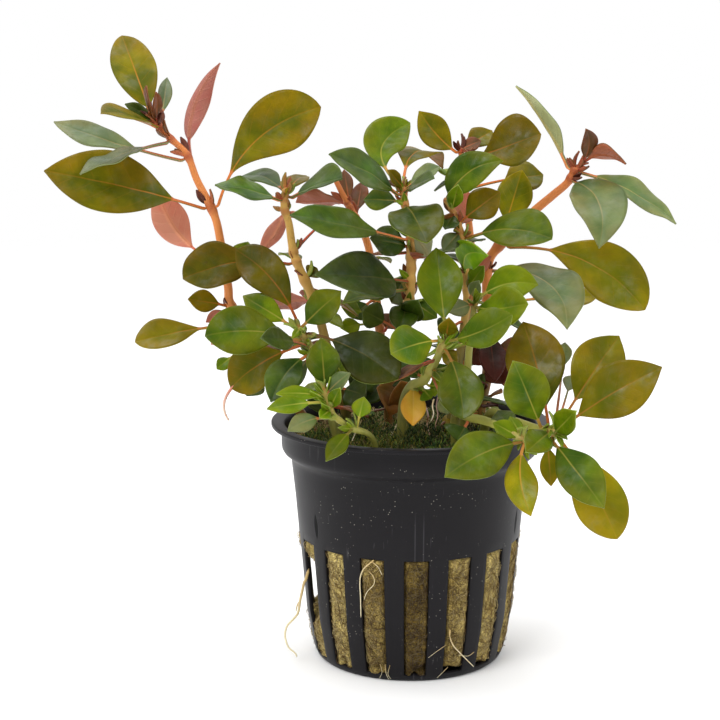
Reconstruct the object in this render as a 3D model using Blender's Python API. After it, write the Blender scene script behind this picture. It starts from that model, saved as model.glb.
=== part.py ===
"""Ludwigia repens rooted in wool in a small slotted net pot.

Metres, +Z up. The origin is the middle of the pot's base, on the surface that it stands on.
The viewer of the photograph looks along +Y, with +X to the right, so a smaller Y is nearer.
"""
from collections import namedtuple
from math import cos, pi, radians, sin, sqrt

import bmesh
import bpy
from mathutils import Matrix, Vector, noise

MM = 0.001

# The pot: its rim, and the outside of its wall as (radius, height) from the base up
RIM_HEIGHT = 47.7
LIP_RADIUS = 27.5
LIP_THICKNESS = 0.8
SKIRT_RADIUS = 25.5
SKIRT_BOTTOM = 42.0
OUTER_WALL = ((18.7, 0.0), (19.4, 2.3), (20.8, 10.0), (22.8, 33.0), (23.6, 40.3), (25.4, SKIRT_BOTTOM))
WALL = 0.9
WALL_RISE = 0.4
POT_SEGMENTS = 32

# The slots in the pot's wall, between its ribs
SLOT_COUNT = 16
SLOT_WIDTH = radians(13.0)
SLOT_TURN = radians(2.2)
SLOT_BOTTOM = 1.3
SLOT_TOP = 25.0
SLOT_NEAR = 15.0
SLOT_FAR = 30.0
BOX_SIDES = ((0, 1, 2, 3), (7, 6, 5, 4), (0, 4, 5, 1), (1, 5, 6, 2), (2, 6, 7, 3), (3, 7, 4, 0))

# The wool block that fills the pot, its top as (radius, height over WOOL_TOP) from the edge in
GAP = 0.3
WOOL_TOP = 43.8
WOOL_CROWN = ((23.5, -1.0), (22.0, 0.0), (15.0, 0.5), (8.0, 0.5))
WOOL_MARGIN = 0.4
WOOL_BUMP = 1.0
WOOL_BUMP_SIZE = 9.0
WOOL_SEGMENTS = 24
SOCKET_DEPTH = 6.0

# Stems and leaves
STEM_SIDES = 6
STEM_STEP = 9.0
MIN_STEM_STEPS = 4
STEM_TAPER = 1.5
CROWN_SHARE = 0.99
LOWEST_LEAF_SHARE = 0.3
PLACE_STEPS = 400
LEAF_THICKNESS = 0.45
STALK_HALF_WIDTH = 0.42
TIP_HALF_WIDTH = 0.15
TIP_FALL = 0.85
FOLD_CURVE = 1.5
LEAF_GRID = (2, 5)
SMALL_LEAF_GRID = (1, 3)

# Where the photograph was taken from: eye in millimetres, lens in pixels of a 720 pixel picture
EYE = Vector((-9.9, -311.0, 115.0)) * MM
LOOK_DOWN = radians(10.1)
FOCAL = 1600.0
MIDDLE = 360.0

# A shoot: the foot of its stem in the wool as (x, y) in millimetres, then the places where the
# photograph shows the stem, as (column, row, depth), with its radii in millimetres.
Shoot = namedtuple("Shoot", "name foot places radii colour leaves")

# A leaf: the stem's place it springs from and its tip as (column, row) in the photograph, the
# tip's depth and the blade's width in millimetres, the stalk's share of its length, the way its
# upper side faces, how far it arches to that side and bends sideways as shares of its length,
# how far its edges fold up as a share of its half width, its colour, whether it is a piece of
# its own or one with its stem, and how full its base is: less makes it widest nearer the stalk.
Leaf = namedtuple(
    "Leaf", "name node tip depth width stalk faces arch sweep fold colour own belly",
    defaults=(0.15, (0.0, -0.8, 0.6), 0.04, 0.0, 0.15, "green", True, 0.9))

ROUGHNESS = {"pot": 0.35, "wool": 0.95}
LEAF_ROUGHNESS = 0.45
COLOURS = {
    "pot": (0.028, 0.028, 0.031),
    "wool": (0.20, 0.15, 0.055),
    "orange": (0.55, 0.20, 0.05),
    "yellow": (0.42, 0.36, 0.05),
    "green": (0.09, 0.17, 0.02),
    "dark": (0.03, 0.08, 0.02),
    "bright": (0.16, 0.28, 0.03),
    "olive": (0.16, 0.15, 0.015),
    "brown": (0.14, 0.07, 0.01),
    "pink": (0.45, 0.13, 0.09),
    "golden": (0.30, 0.24, 0.03),
    "pale": (0.22, 0.28, 0.13),
}

SHOOTS = (
    Shoot("left_tall", (-15, 4), (
        (300, 412, 4), (270, 372, 4), (243, 330, 2), (230, 303, 1), (228, 286, 0), (221, 244, -1),
        (214, 214, -1), (197, 180, 0), (187, 155, 0), (169, 137, 0), (152, 118, 0)), (1.0, 0.55),
        "orange", (
        Leaf("leaf_top", (152, 118), (122, 36), 12, 8.6, 0.06, (0.1, -0.92, 0.3), colour="olive",
             belly=0.65),
        Leaf("leaf_low", (159, 125), (101, 113), -15, 8.6, 0.12, (0, -0.6, 0.8), colour="green"),
        Leaf("leaf_long", (188, 157), (54, 122), 2, 6.4, 0.33, (0, -0.6, 0.8), 0.04, -0.07),
        Leaf("leaf_front", (171, 139), (80, 174), -13, 5.6, 0.25, (-0.2, -0.5, 0.8), 0.04,
             colour="pale"),
        Leaf("leaf_pink", (189, 156), (220, 63), 6, 4.6, 0.16, (0.5, 0.75, 0.3), 0.05, 0.18, 0.5,
             "pink", belly=0.6),
        Leaf("leaf_olive", (211, 206), (44, 171), -8, 12.4, 0.2, (0, -0.88, 0.45), 0.05,
             colour="olive"),
        Leaf("leaf_behind", (223, 262), (157, 188), 5, 7.0, 0.28, (-0.3, 0.85, 0.3), 0.0, 0.12, 0.3,
             "pink"),
        Leaf("leaf_large", (214, 208), (321, 107), -3, 11.6, 0.2, (0.1, -0.95, 0.2), 0.04, -0.14,
             colour="olive", belly=1.2),
        Leaf("leaf_yellow", (241, 336), (135, 342), -4, 7.6, 0.3, (0, -0.7, 0.7), 0.03,
             colour="golden", belly=1.1),
        Leaf("young_leaf", (160, 127), (167, 78), 10, 2.8, 0.25, (0.2, -0.95, 0.1), colour="pale",
             own=False),
        Leaf("young_leaf", (156, 121), (125, 104), -3, 2.8, 0.1, colour="dark", own=False),
        Leaf("young_leaf", (157, 122), (146, 86), -6, 2.8, 0.1, (-0.6, -0.6, 0.2), colour="brown",
             own=False),
        Leaf("young_leaf", (156, 121), (156, 92), -5, 2.6, 0.1, (0.6, -0.7, 0.1), colour="brown",
             own=False),
        Leaf("young_leaf", (229, 308), (188, 299), -3, 4.6, 0.3, (0, -0.9, 0.4), colour="olive",
             own=False),
        Leaf("young_leaf", (233, 313), (206, 322), 4, 3.4, 0.1, (0, 0.8, 0.5), colour="brown",
             own=False),
        )),
    Shoot("left", (-11, 3), (
        (345, 410, 3), (328, 350, 0), (315, 303, -3), (300, 270, -4), (293, 250, -4),
        (289, 224, -4), (284, 206, -4), (286, 190, -4)), (1.0, 0.6), "yellow", (
        Leaf("leaf_left", (285, 200), (215, 185), -9, 8.2, 0.1, (0, -0.45, 0.9), 0.08, -0.1,
             colour="dark"),
        Leaf("leaf_back", (286, 192), (243, 176), 9, 6.0, 0.1, (0, -0.4, 0.9), 0.08,
             colour="dark", own=False),
        Leaf("leaf_right", (286, 196), (342, 179), -8, 9.0, 0.1, (0, -0.45, 0.9), 0.0, -0.12, 0.3,
             "dark"),
        Leaf("leaf_olive", (292, 263), (183, 279), -11, 10.0, 0.27, (0, -0.75, 0.66), 0.05, 0.065,
             colour="olive"),
        Leaf("leaf_hanging", (285, 210), (259, 254), 4, 3.6, 0.1, (-0.3, 0.8, 0.3), 0.05, 0.08,
             colour="pink", own=False),
        Leaf("young_leaf", (294, 252), (338, 210), 3, 7.0, 0.5, (0, -0.5, 0.8), colour="brown",
             own=False),
        Leaf("young_leaf", (286, 191), (306, 176), 6, 4.0, 0.1, (0, -0.5, 0.8), colour="olive",
             own=False),
        Leaf("young_leaf", (287, 212), (297, 218), -2, 3.0, 0.1, (0.4, 0.8, 0.3), colour="pink",
             own=False),
        Leaf("young_leaf", (304, 281), (317, 268), -3, 3.4, 0.3, colour="olive", own=False),
        Leaf("young_leaf", (312, 300), (264, 309), 4, 5.6, 0.1, (0, 0.7, 0.6), colour="pink",
             own=False),
        )),
    Shoot("left_centre", (-4, 9), (
        (388, 405, 9), (380, 330, 8), (372, 265, 7), (364, 234, 6), (350, 208, 4), (343, 195, 4),
        (336, 181, 4)), (0.9, 0.5), "orange", (
        Leaf("young_leaf", (345, 204), (296, 202), 11, 7.0, 0.08, (0, 0.6, 0.8), colour="brown",
             own=False),
        Leaf("young_leaf", (350, 208), (344, 170), 9, 2.8, 0.2, (0, -0.9, 0.4), colour="brown",
             own=False),
        Leaf("young_leaf", (356, 218), (362, 182), 10, 3.6, 0.2, (0, -0.9, 0.4), colour="brown",
             own=False),
        Leaf("young_leaf", (378, 318), (342, 307), 0, 3.6, 0.55, (0, -0.9, 0.4), colour="bright",
             own=False),
        Leaf("young_leaf", (379, 328), (341, 328), 0, 3.6, 0.55, (0, -0.9, 0.4), colour="bright",
             own=False),
        )),
    Shoot("centre", (1, 0), (
        (404, 405, 0), (406, 340, -1), (409, 300, -2), (411, 270, -3), (411, 240, -4),
        (409, 222, -5), (405, 205, -6), (403, 188, -6)), (1.0, 0.6), "yellow", (
        Leaf("leaf_dark_long", (409, 238), (290, 215), -18, 7.5, 0.27, (0, -0.75, 0.66), 0.05, -0.03,
             colour="dark"),
        Leaf("leaf_upper_left", (402, 194), (329, 154), -14, 9.0, 0.1, (-0.1, -0.6, 0.8),
             colour="dark", belly=0.75),
        Leaf("leaf_back_left", (402, 188), (410, 123), 4, 8.5, 0.2, (0, -0.95, 0.3), 0.0, -0.3,
             colour="green"),
        Leaf("leaf_back_right", (403, 188), (443, 168), 12, 8.0, 0.15, (-0.2, -0.6, 0.75), 0.22,
             -0.1, colour="olive"),
        Leaf("leaf_facing", (405, 205), (428, 241), -22, 8.8, 0.1, (-0.1, -0.75, 0.65), 0.1,
             colour="green", belly=0.7),
        Leaf("leaf_dark_low", (411, 280), (315, 275), -22, 10.6, 0.18, (0, -0.85, 0.55), 0.05,
             -0.02, colour="dark", belly=0.5),
        Leaf("young_leaf", (404, 202), (364, 200), -3, 5.0, 0.2, (0, -0.75, 0.6), colour="green",
             own=False),
        Leaf("young_leaf", (403, 190), (440, 167), -8, 5.0, 0.2, (0, -0.55, 0.8), colour="pale",
             own=False),
        Leaf("young_leaf", (403, 193), (434, 178), -16, 5.0, 0.2, (0, -0.75, 0.6), colour="dark",
             own=False),
        Leaf("young_leaf", (403, 190), (388, 170), -10, 2.8, 0.1, colour="olive", own=False),
        Leaf("young_leaf", (411, 248), (370, 238), -8, 6.4, 0.15, (0, -0.85, 0.4), colour="dark",
             own=False),
        Leaf("young_leaf", (411, 290), (343, 303), -12, 6.4, 0.25, (0, -0.35, 0.9), colour="green",
             own=False),
        Leaf("young_leaf", (410, 258), (427, 256), -8, 4.6, 0.1, (0, 0.5, 0.8), colour="brown",
             own=False),
        Leaf("young_leaf", (409, 227), (429, 256), -9, 4.4, 0.2, (0, 0.8, 0.5), colour="pale",
             own=False),
        Leaf("young_leaf", (411, 268), (392, 303), 6, 5.0, 0.2, (0, -0.9, 0.4), colour="dark",
             own=False),
        Leaf("young_leaf", (408, 303), (398, 331), -12, 5.6, 0.1, (0, -0.95, 0.3), colour="dark",
             own=False),
        Leaf("young_leaf", (409, 300), (437, 318), -5, 4.6, 0.1, (0, -0.9, 0.4), colour="green",
             own=False),
        )),
    Shoot("centre_right", (7, -2), (
        (452, 410, -2), (462, 340, 0), (467, 300, 0), (466, 275, 0), (463, 250, -1),
        (459, 228, -2), (453, 212, -3), (446, 200, -3)), (0.9, 0.5), "yellow", (
        Leaf("leaf_top", (446, 200), (503, 161), -6, 7.4, 0.0, (-0.1, -0.85, 0.5), 0.05, -0.12,
             colour="green", belly=0.6),
        Leaf("leaf_right", (464, 238), (552, 239), -12, 9.6, 0.16, (0, -0.8, 0.6), 0.05, -0.08,
             colour="green", belly=0.8),
        Leaf("leaf_bright", (466, 277), (488, 256), -10, 6.4, 0.1, (0, -0.95, 0.3), 0.05, -0.25,
             colour="bright", own=False),
        Leaf("young_leaf", (458, 224), (500, 192), -3, 6.6, 0.2, (0, -0.9, 0.4), colour="olive",
             own=False),
        Leaf("young_leaf", (452, 210), (458, 185), -8, 3.2, 0.1, (0, -0.9, 0.4), colour="bright",
             own=False),
        Leaf("young_leaf", (454, 214), (445, 229), -7, 4.0, 0.1, (0, -0.9, 0.4), colour="dark",
             own=False),
        Leaf("young_leaf", (460, 232), (443, 251), -7, 3.6, 0.1, (0, -0.9, 0.4), colour="pale",
             own=False),
        Leaf("young_leaf", (461, 230), (470, 193), 6, 5.4, 0.2, (0, 0.9, 0.3), colour="brown",
             own=False),
        Leaf("young_leaf", (467, 290), (484, 266), -5, 3.4, 0.2, (0, -0.9, 0.4), colour="bright",
             own=False),
        Leaf("young_leaf", (467, 280), (491, 256), 3, 3.4, 0.2, (0, 0.9, 0.4), colour="brown",
             own=False),
        )),
    Shoot("back_right", (8, 11), (
        (458, 405, 11), (470, 330, 11), (472, 260, 10), (466, 200, 8), (462, 168, 8),
        (461, 150, 8)), (0.9, 0.5), "orange", (
        Leaf("leaf_left", (461, 152), (419, 111), 4, 6.0, 0.1, (-0.1, -0.9, 0.4), 0.05, -0.06,
             colour="olive"),
        Leaf("leaf_large", (462, 160), (541, 134), 0, 11.0, 0.22, (0, -0.9, 0.45), 0.05, 0.03, 0.3,
             "olive", belly=1.1),
        Leaf("leaf_behind", (465, 190), (543, 175), 14, 8.0, 0.5, (0, -0.7, 0.7), colour="olive",
             own=False),
        Leaf("young_leaf", (461, 150), (481, 141), 8, 3.4, 0.1, (0, -0.7, 0.7), colour="brown",
             own=False),
        Leaf("young_leaf", (461, 152), (492, 131), 14, 5.0, 0.2, (0, -0.8, 0.6), colour="olive",
             own=False),
        )),
    Shoot("right_tall", (14, 3), (
        (480, 412, 3), (487, 375, 3), (489, 330, 4), (487, 290, 5), (488, 264, 6), (498, 247, 6),
        (531, 214, 5), (552, 196, 4), (568, 182, 3), (576, 167, 2)), (1.1, 0.7), "orange", (
        Leaf("leaf_narrow", (574, 171), (516, 86), 4, 4.6, 0.15, (0.75, 0.4, 0.5), 0.06, 0.02, 0.4,
             "pale", belly=0.6),
        Leaf("leaf_red", (575, 169), (626, 164), -2, 7.0, 0.25, (0.1, 0.45, 0.9), 0.25,
             colour="brown", own=False),
        Leaf("leaf_hanging", (571, 178), (599, 248), -14, 10.6, 0.04, (0, -0.96, 0.3), 0.1, -0.13,
             colour="pale", belly=0.6),
        Leaf("leaf_right", (575, 170), (676, 224), 2, 6.9, 0.12, (0.1, -0.6, 0.8), 0.08,
             colour="green", belly=0.75),
        Leaf("leaf_golden", (503, 243), (645, 310), 2, 12.4, 0.25, (0, -0.85, 0.5), 0.05, -0.12,
             colour="golden"),
        Leaf("leaf_grey", (487, 270), (567, 329), -16, 10.8, 0.05, (0.15, -0.75, 0.65), 0.06, -0.18,
             colour="pale", belly=0.8),
        Leaf("leaf_upright", (499, 246), (522, 170), 8, 7.2, 0.3, (0, -0.95, 0.3), 0.02,
             colour="olive", own=False),
        Leaf("leaf_old", (489, 335), (495, 382), -6, 5.4, 0.1, (0, -0.9, 0.4), colour="brown",
             own=False),
        Leaf("young_leaf", (574, 171), (586, 129), -3, 3.6, 0.3, (0.3, -0.8, 0.4), 0.04, 0.15,
             colour="brown", own=False),
        Leaf("young_leaf", (488, 305), (597, 297), 12, 7.0, 0.4, (0, -0.7, 0.6), colour="golden",
             own=False),
        )),
    Shoot("right_small", (9, -7), (
        (465, 410, -8), (469, 350, -11), (473, 318, -12), (475, 302, -12)), (0.8, 0.5), "yellow", (
        Leaf("leaf_up", (475, 302), (538, 285), -14, 6.8, 0.2, (0, -0.9, 0.4), 0.1, -0.12,
             colour="bright", own=False),
        Leaf("leaf_down", (475, 307), (528, 304), -22, 8.0, 0.1, (0, -0.92, 0.35), 0.05, 0.06,
             colour="bright", own=False),
        Leaf("young_leaf", (475, 304), (448, 312), -16, 3.6, 0.2, (0, -0.9, 0.4), colour="pale",
             own=False),
        )),
    Shoot("front_centre", (-2, -14), (
        (404, 401, -15), (424, 379, -18), (434, 364, -20), (441, 350, -21), (446, 337, -21)),
        (0.95, 0.6), "yellow", (
        Leaf("leaf_up", (446, 337), (436, 248), -15, 8.5, 0.12, (0, -0.95, 0.3), 0.03,
             colour="bright"),
        Leaf("leaf_right", (446, 339), (512, 315), -27, 7.2, 0.1, (0, -0.88, 0.45), 0.05, 0.06,
             colour="bright"),
        Leaf("leaf_left", (444, 342), (391, 354), -29, 7.8, 0.15, (0, -0.88, 0.45), 0.05, 0.03,
             colour="green"),
        Leaf("leaf_down", (443, 348), (463, 419), -31, 8.4, 0.18, (0, -0.95, 0.35), 0.08, -0.05,
             colour="green"),
        Leaf("leaf_old", (410, 396), (413, 426), -20, 4.8, 0.05, (0, -0.95, 0.3), colour="golden",
             own=False),
        Leaf("young_leaf", (446, 337), (449, 318), -27, 3.6, 0.1, (0, -0.9, 0.4), colour="olive",
             own=False),
        Leaf("young_leaf", (441, 350), (457, 364), -22, 3.2, 0.1, (0, -0.9, 0.4), colour="olive",
             own=False),
        Leaf("young_leaf", (424, 379), (396, 362), -20, 3.4, 0.2, (0, -0.8, 0.6), colour="dark",
             own=False),
        Leaf("young_leaf", (430, 371), (448, 414), -21, 3.0, 0.6, (0, -0.9, 0.4), colour="pale",
             own=False),
        )),
    Shoot("front_left", (-12, -12), (
        (332, 418, -13), (318, 375, -14), (310, 350, -15), (305, 339, -16), (300, 329, -16)),
        (0.95, 0.6), "yellow", (
        Leaf("leaf_up_left", (300, 329), (236, 250), -11, 7.8, 0.16, (-0.1, -0.88, 0.45), 0.05,
             0.08, colour="olive"),
        Leaf("leaf_left", (304, 337), (205, 336), -25, 9.2, 0.17, (0, -0.92, 0.4), 0.05, 0.06,
             colour="green"),
        Leaf("leaf_low_left", (307, 343), (231, 388), -13, 9.0, 0.2, (0, -0.9, 0.4), 0.05, 0.05,
             colour="olive"),
        Leaf("leaf_down", (311, 352), (271, 402), -27, 6.6, 0.1, (-0.1, -0.95, 0.25), 0.05, 0.06,
             colour="dark"),
        Leaf("leaf_right_up", (300, 329), (341, 291), -20, 6.2, 0.06, (0, -0.92, 0.35), 0.05,
             colour="green"),
        Leaf("leaf_right_down", (304, 335), (398, 379), -26, 10.0, 0.25, (0, -0.92, 0.4), 0.05,
             -0.05, colour="green"),
        Leaf("young_leaf", (312, 355), (280, 394), -21, 3.8, 0.15, (0, -0.95, 0.3), colour="pale",
             own=False),
        Leaf("young_leaf", (302, 333), (243, 296), -14, 5.0, 0.3, (0, -0.9, 0.4), colour="green",
             own=False),
        Leaf("young_leaf", (309, 347), (261, 338), -33, 4.6, 0.4, (0, -0.9, 0.4), colour="dark",
             own=False),
        )),
    Shoot("front_sprout", (-7, -19), (
        (374, 441, -22), (352, 428, -24), (339, 420, -25), (331, 411, -26), (327, 400, -26),
        (325, 389, -26)), (0.55, 0.4), "yellow", (
        Leaf("leaf_up", (325, 390), (321, 338), -25, 6.2, 0.08, (0, -0.96, 0.25), 0.03,
             colour="green", own=False),
        Leaf("leaf_low_left", (339, 420), (288, 431), -33, 3.6, 0.42, (0, -0.9, 0.4), 0.05, 0.08,
             colour="pale", own=False),
        Leaf("leaf_over_rim", (353, 429), (326, 461), -32, 3.6, 0.25, (-0.1, -0.95, 0.3), 0.1, 0.0,
             colour="bright", own=False),
        Leaf("young_leaf", (326, 394), (350, 373), -28, 3.4, 0.1, (0, -0.8, 0.6), colour="pale",
             own=False),
        Leaf("young_leaf", (326, 396), (276, 394), -28, 3.4, 0.1, (0, -0.6, 0.8), colour="bright",
             own=False),
        Leaf("young_leaf", (328, 402), (267, 409), -32, 3.4, 0.3, (0, -0.8, 0.6), colour="bright",
             own=False),
        Leaf("young_leaf", (330, 409), (340, 388), -30, 2.6, 0.1, (0, -0.9, 0.4), colour="bright",
             own=False),
        Leaf("young_leaf", (331, 410), (320, 418), -30, 2.4, 0.1, (0, -0.9, 0.4), colour="bright",
             own=False),
        Leaf("young_leaf", (361, 433), (364, 397), -26, 3.6, 0.4, (0, -0.9, 0.4), colour="bright",
             own=False),
        )),
    Shoot("lower_right", (9, -16), (
        (455, 419, -18), (470, 418, -20), (486, 421, -24), (500, 427, -28), (513, 434, -30),
        (525, 441, -31)), (0.9, 0.6), "yellow", (
        Leaf("leaf_left", (523, 440), (445, 477), -42, 8.6, 0.08, (0, -0.9, 0.4), 0.05, 0.05,
             colour="green"),
        Leaf("leaf_down", (525, 441), (531, 516), -40, 5.9, 0.1, (0, -0.98, 0.15), 0.05, 0.09,
             colour="golden"),
        Leaf("young_leaf", (521, 439), (493, 423), -30, 3.4, 0.1, (0, -0.8, 0.6), colour="bright",
             own=False),
        Leaf("young_leaf", (523, 440), (510, 417), -27, 2.6, 0.1, (0, -0.8, 0.6), colour="bright",
             own=False),
        Leaf("young_leaf", (513, 434), (498, 411), -23, 4.4, 0.1, (0, -0.9, 0.4), colour="dark",
             own=False),
        )),
    Shoot("far_right", (13, -9), (
        (488, 416, -12), (510, 420, -18), (532, 427, -24), (545, 431, -27), (555, 433, -29)),
        (0.9, 0.6), "yellow", (
        Leaf("leaf_up_left", (543, 430), (513, 361), -33, 8.6, 0.08, (0, -0.94, 0.3), 0.03,
             colour="green"),
        Leaf("leaf_olive", (548, 432), (523, 322), -20, 10.8, 0.16, (0, -0.95, 0.3), 0.04, 0.02,
             colour="brown"),
        Leaf("leaf_upper_right", (555, 433), (619, 336), -24, 9.6, 0.28, (-0.1, -0.92, 0.35), 0.04,
             -0.01, colour="golden"),
        Leaf("leaf_right", (555, 433), (662, 367), -36, 9.6, 0.2, (0, -0.9, 0.4), 0.05, -0.02,
             colour="green"),
        Leaf("leaf_low_green", (554, 433), (604, 508), -43, 7.6, 0.12, (0, -0.94, 0.3), 0.04,
             colour="green"),
        Leaf("leaf_low_golden", (555, 433), (617, 539), -34, 9.4, 0.15, (0, -0.96, 0.25), 0.04,
             -0.03, colour="golden"),
        Leaf("young_leaf", (555, 433), (576, 411), -38, 4.6, 0.1, (0, -0.9, 0.4), colour="bright",
             own=False),
        Leaf("young_leaf", (550, 433), (526, 452), -40, 5.2, 0.1, (0, -0.9, 0.4), colour="green",
             own=False),
        Leaf("young_leaf", (546, 432), (551, 486), -31, 3.6, 0.3, (0, -0.9, 0.3), colour="golden",
             own=False),
        Leaf("young_leaf", (554, 433), (565, 343), -12, 3.0, 0.7, (0, -0.9, 0.4), colour="pale",
             own=False),
        Leaf("young_leaf", (555, 433), (572, 376), -16, 3.0, 0.7, (0, -0.9, 0.4), colour="pale",
             own=False),
        )),
)


def sight(column, row, depth):
    """Return the point that the photograph shows there, depth millimetres behind the pot's axis."""
    ray = Vector((column - MIDDLE, FOCAL, MIDDLE - row))
    ray.rotate(Matrix.Rotation(-LOOK_DOWN, 3, "X"))
    return EYE + ray * ((depth * MM - EYE.y) / ray.y)


def picture_place(point):
    """Return the column and row where the photograph shows a point."""
    ray = point - EYE
    ray.rotate(Matrix.Rotation(LOOK_DOWN, 3, "X"))
    return Vector((MIDDLE + FOCAL * ray.x / ray.y, MIDDLE - FOCAL * ray.z / ray.y))


def route_point(points, share):
    """Return the point at a share of the way along the smooth curve through the points."""
    last = len(points) - 1
    place = min(max(share, 0.0), 1.0) * last
    index = min(int(place), last - 1)
    step = place - index
    start, end = points[index], points[index + 1]
    before = points[max(index - 1, 0)]
    after = points[min(index + 2, last)]
    leaving = (end - before) / 2
    arriving = (after - start) / 2
    return (start * (2 * step**3 - 3 * step**2 + 1) + leaving * (step**3 - 2 * step**2 + step)
            + end * (3 * step**2 - 2 * step**3) + arriving * (step**3 - step**2))


def stem_points(shoot):
    """Return the points that a shoot's stem runs through, from its foot in the wool to its crown."""
    foot = Vector((shoot.foot[0], shoot.foot[1], WOOL_TOP - SOCKET_DEPTH)) * MM
    return [foot] + [sight(*place) for place in shoot.places]


def stem_radius(shoot, share):
    """Return the stem's radius in metres at a share of its route."""
    foot_radius, crown_radius = shoot.radii
    return (foot_radius + (crown_radius - foot_radius) * share**STEM_TAPER) * MM


def stem_route(shoot):
    """Return the middle points and radii of the rings that a shoot's stem is made of."""
    points = stem_points(shoot)
    length = sum((b - a).length for a, b in zip(points, points[1:])) / MM
    steps = max(round(length / STEM_STEP), MIN_STEM_STEPS)
    shares = [step / steps for step in range(steps + 1)]
    route = [route_point(points, share) for share in shares]
    return route, [stem_radius(shoot, share) for share in shares]


def nearest_share(shoot, place):
    """Return the share of the stem's route that the photograph shows nearest to a place."""
    points = stem_points(shoot)
    goal = Vector(place)
    lowest = round(LOWEST_LEAF_SHARE * PLACE_STEPS)
    return min((step / PLACE_STEPS for step in range(lowest, PLACE_STEPS + 1)),
               key=lambda share: (picture_place(route_point(points, share)) - goal).length)


class Blade:
    """The middle surface of one leaf, from its stalk's foot to its tip."""

    def __init__(self, leaf, shoot):
        self.leaf = leaf
        points = stem_points(shoot)
        share = nearest_share(shoot, leaf.node)
        centre = route_point(points, share)
        nudge = 1 / PLACE_STEPS
        ahead = route_point(points, share + nudge) - route_point(points, share - nudge)
        ahead.normalize()
        tip = sight(*leaf.tip, leaf.depth)
        self.aim(centre, tip)
        out = self.heading(0.0)
        along = out.dot(ahead)
        if share < CROWN_SHARE or along < 0:
            out = (out - ahead * along).normalized()
        reach = stem_radius(shoot, share) + (GAP + LEAF_THICKNESS) * MM if leaf.own else 0.0
        self.aim(centre + out * reach, tip)

    def aim(self, start, tip):
        """Lay the leaf from its start to its tip, with its upper side the way that it faces."""
        self.start = start
        self.chord = tip - start
        along = self.chord.normalized()
        faces = Vector(self.leaf.faces)
        self.up = (faces - along * faces.dot(along)).normalized()
        self.side = along.cross(self.up)

    def heading(self, along):
        """Return the way the midrib runs at a share of its length."""
        length = self.chord.length
        bend = (self.up * self.leaf.arch + self.side * self.leaf.sweep) * length
        return (self.chord + bend * 4 * (1 - 2 * along)).normalized()

    def half_width(self, along):
        """Return half the leaf's width in metres at a share of its length."""
        leaf = self.leaf
        share = max((along - leaf.stalk) / (1 - leaf.stalk), 0.0)
        rise, fall = leaf.belly, TIP_FALL
        peak = rise / (rise + fall)
        swell = share**rise * (1 - share)**fall / (peak**rise * (1 - peak)**fall)
        stalk = STALK_HALF_WIDTH + (TIP_HALF_WIDTH - STALK_HALF_WIDTH) * along
        return sqrt((leaf.width / 2 * swell)**2 + stalk**2) * MM

    def point(self, along, across):
        """Return the point at a share along the leaf, across running from -1 to 1."""
        leaf = self.leaf
        length = self.chord.length
        bend = (self.up * leaf.arch + self.side * leaf.sweep) * length
        middle = self.start + self.chord * along + bend * (4 * along * (1 - along))
        heading = self.heading(along)
        side = heading.cross(self.up).normalized()
        normal = side.cross(heading)
        width = self.half_width(along)
        lift = leaf.fold * abs(across)**FOLD_CURVE * width
        return middle + side * (across * width) + normal * lift


def add_object(name, mesh_data, colour):
    """Make a mesh object from a bmesh, smooth shaded, with its own plain material."""
    mesh = bpy.data.meshes.new(name)
    bmesh.ops.recalc_face_normals(mesh_data, faces=mesh_data.faces)
    mesh_data.to_mesh(mesh)
    mesh_data.free()
    mesh.shade_smooth()
    mesh.set_sharp_from_angle(angle=radians(40))
    material = bpy.data.materials.new(name)
    material.use_nodes = True
    shader = material.node_tree.nodes["Principled BSDF"]
    shader.inputs["Base Color"].default_value = (*COLOURS[colour], 1.0)
    shader.inputs["Roughness"].default_value = ROUGHNESS.get(colour, LEAF_ROUGHNESS)
    shader.inputs["Metallic"].default_value = 0.0
    mesh.materials.append(material)
    made = bpy.data.objects.new(name, mesh)
    bpy.context.scene.collection.objects.link(made)
    return made


def lathe(profile, segments):
    """Turn a profile of (radius, height) in millimetres about Z into a closed shape."""
    shape = bmesh.new()
    points = [shape.verts.new((radius * MM, 0.0, height * MM)) for radius, height in profile]
    edges = [shape.edges.new(pair) for pair in zip(points, points[1:])]
    bmesh.ops.spin(shape, geom=points + edges, cent=(0, 0, 0), axis=(0, 0, 1), angle=2 * pi,
                   steps=segments, use_merge=True)
    bmesh.ops.remove_doubles(shape, verts=shape.verts, dist=1e-7)
    return shape


def tube(points, radii, sides):
    """Sweep a round section through the points, closed at both ends."""
    shape = bmesh.new()
    frames = []
    ahead = (points[1] - points[0]).normalized()
    turn = Vector((0, 0, 1)).rotation_difference(ahead).to_matrix()
    for index, point in enumerate(points):
        after = points[min(index + 1, len(points) - 1)]
        before = points[max(index - 1, 0)]
        way = (after - before).normalized()
        turn = ahead.rotation_difference(way).to_matrix() @ turn
        ahead = way
        size = Matrix.Diagonal(Vector.Fill(3, radii[index]))
        frames.append(Matrix.Translation(point) @ (turn @ size).to_4x4())
    ring = bmesh.ops.create_circle(shape, cap_ends=True, segments=sides, radius=1.0,
                                   matrix=frames[0])["verts"]
    cap = ring[0].link_faces[0]
    for old, new in zip(frames, frames[1:]):
        grown = bmesh.ops.extrude_face_region(shape, geom=[cap])["geom"]
        if old is not frames[0]:
            shape.faces.remove(cap)
        corners = [item for item in grown if isinstance(item, bmesh.types.BMVert)]
        cap = next(item for item in grown if isinstance(item, bmesh.types.BMFace))
        bmesh.ops.transform(shape, matrix=new @ old.inverted(), verts=corners)
    return shape


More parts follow.
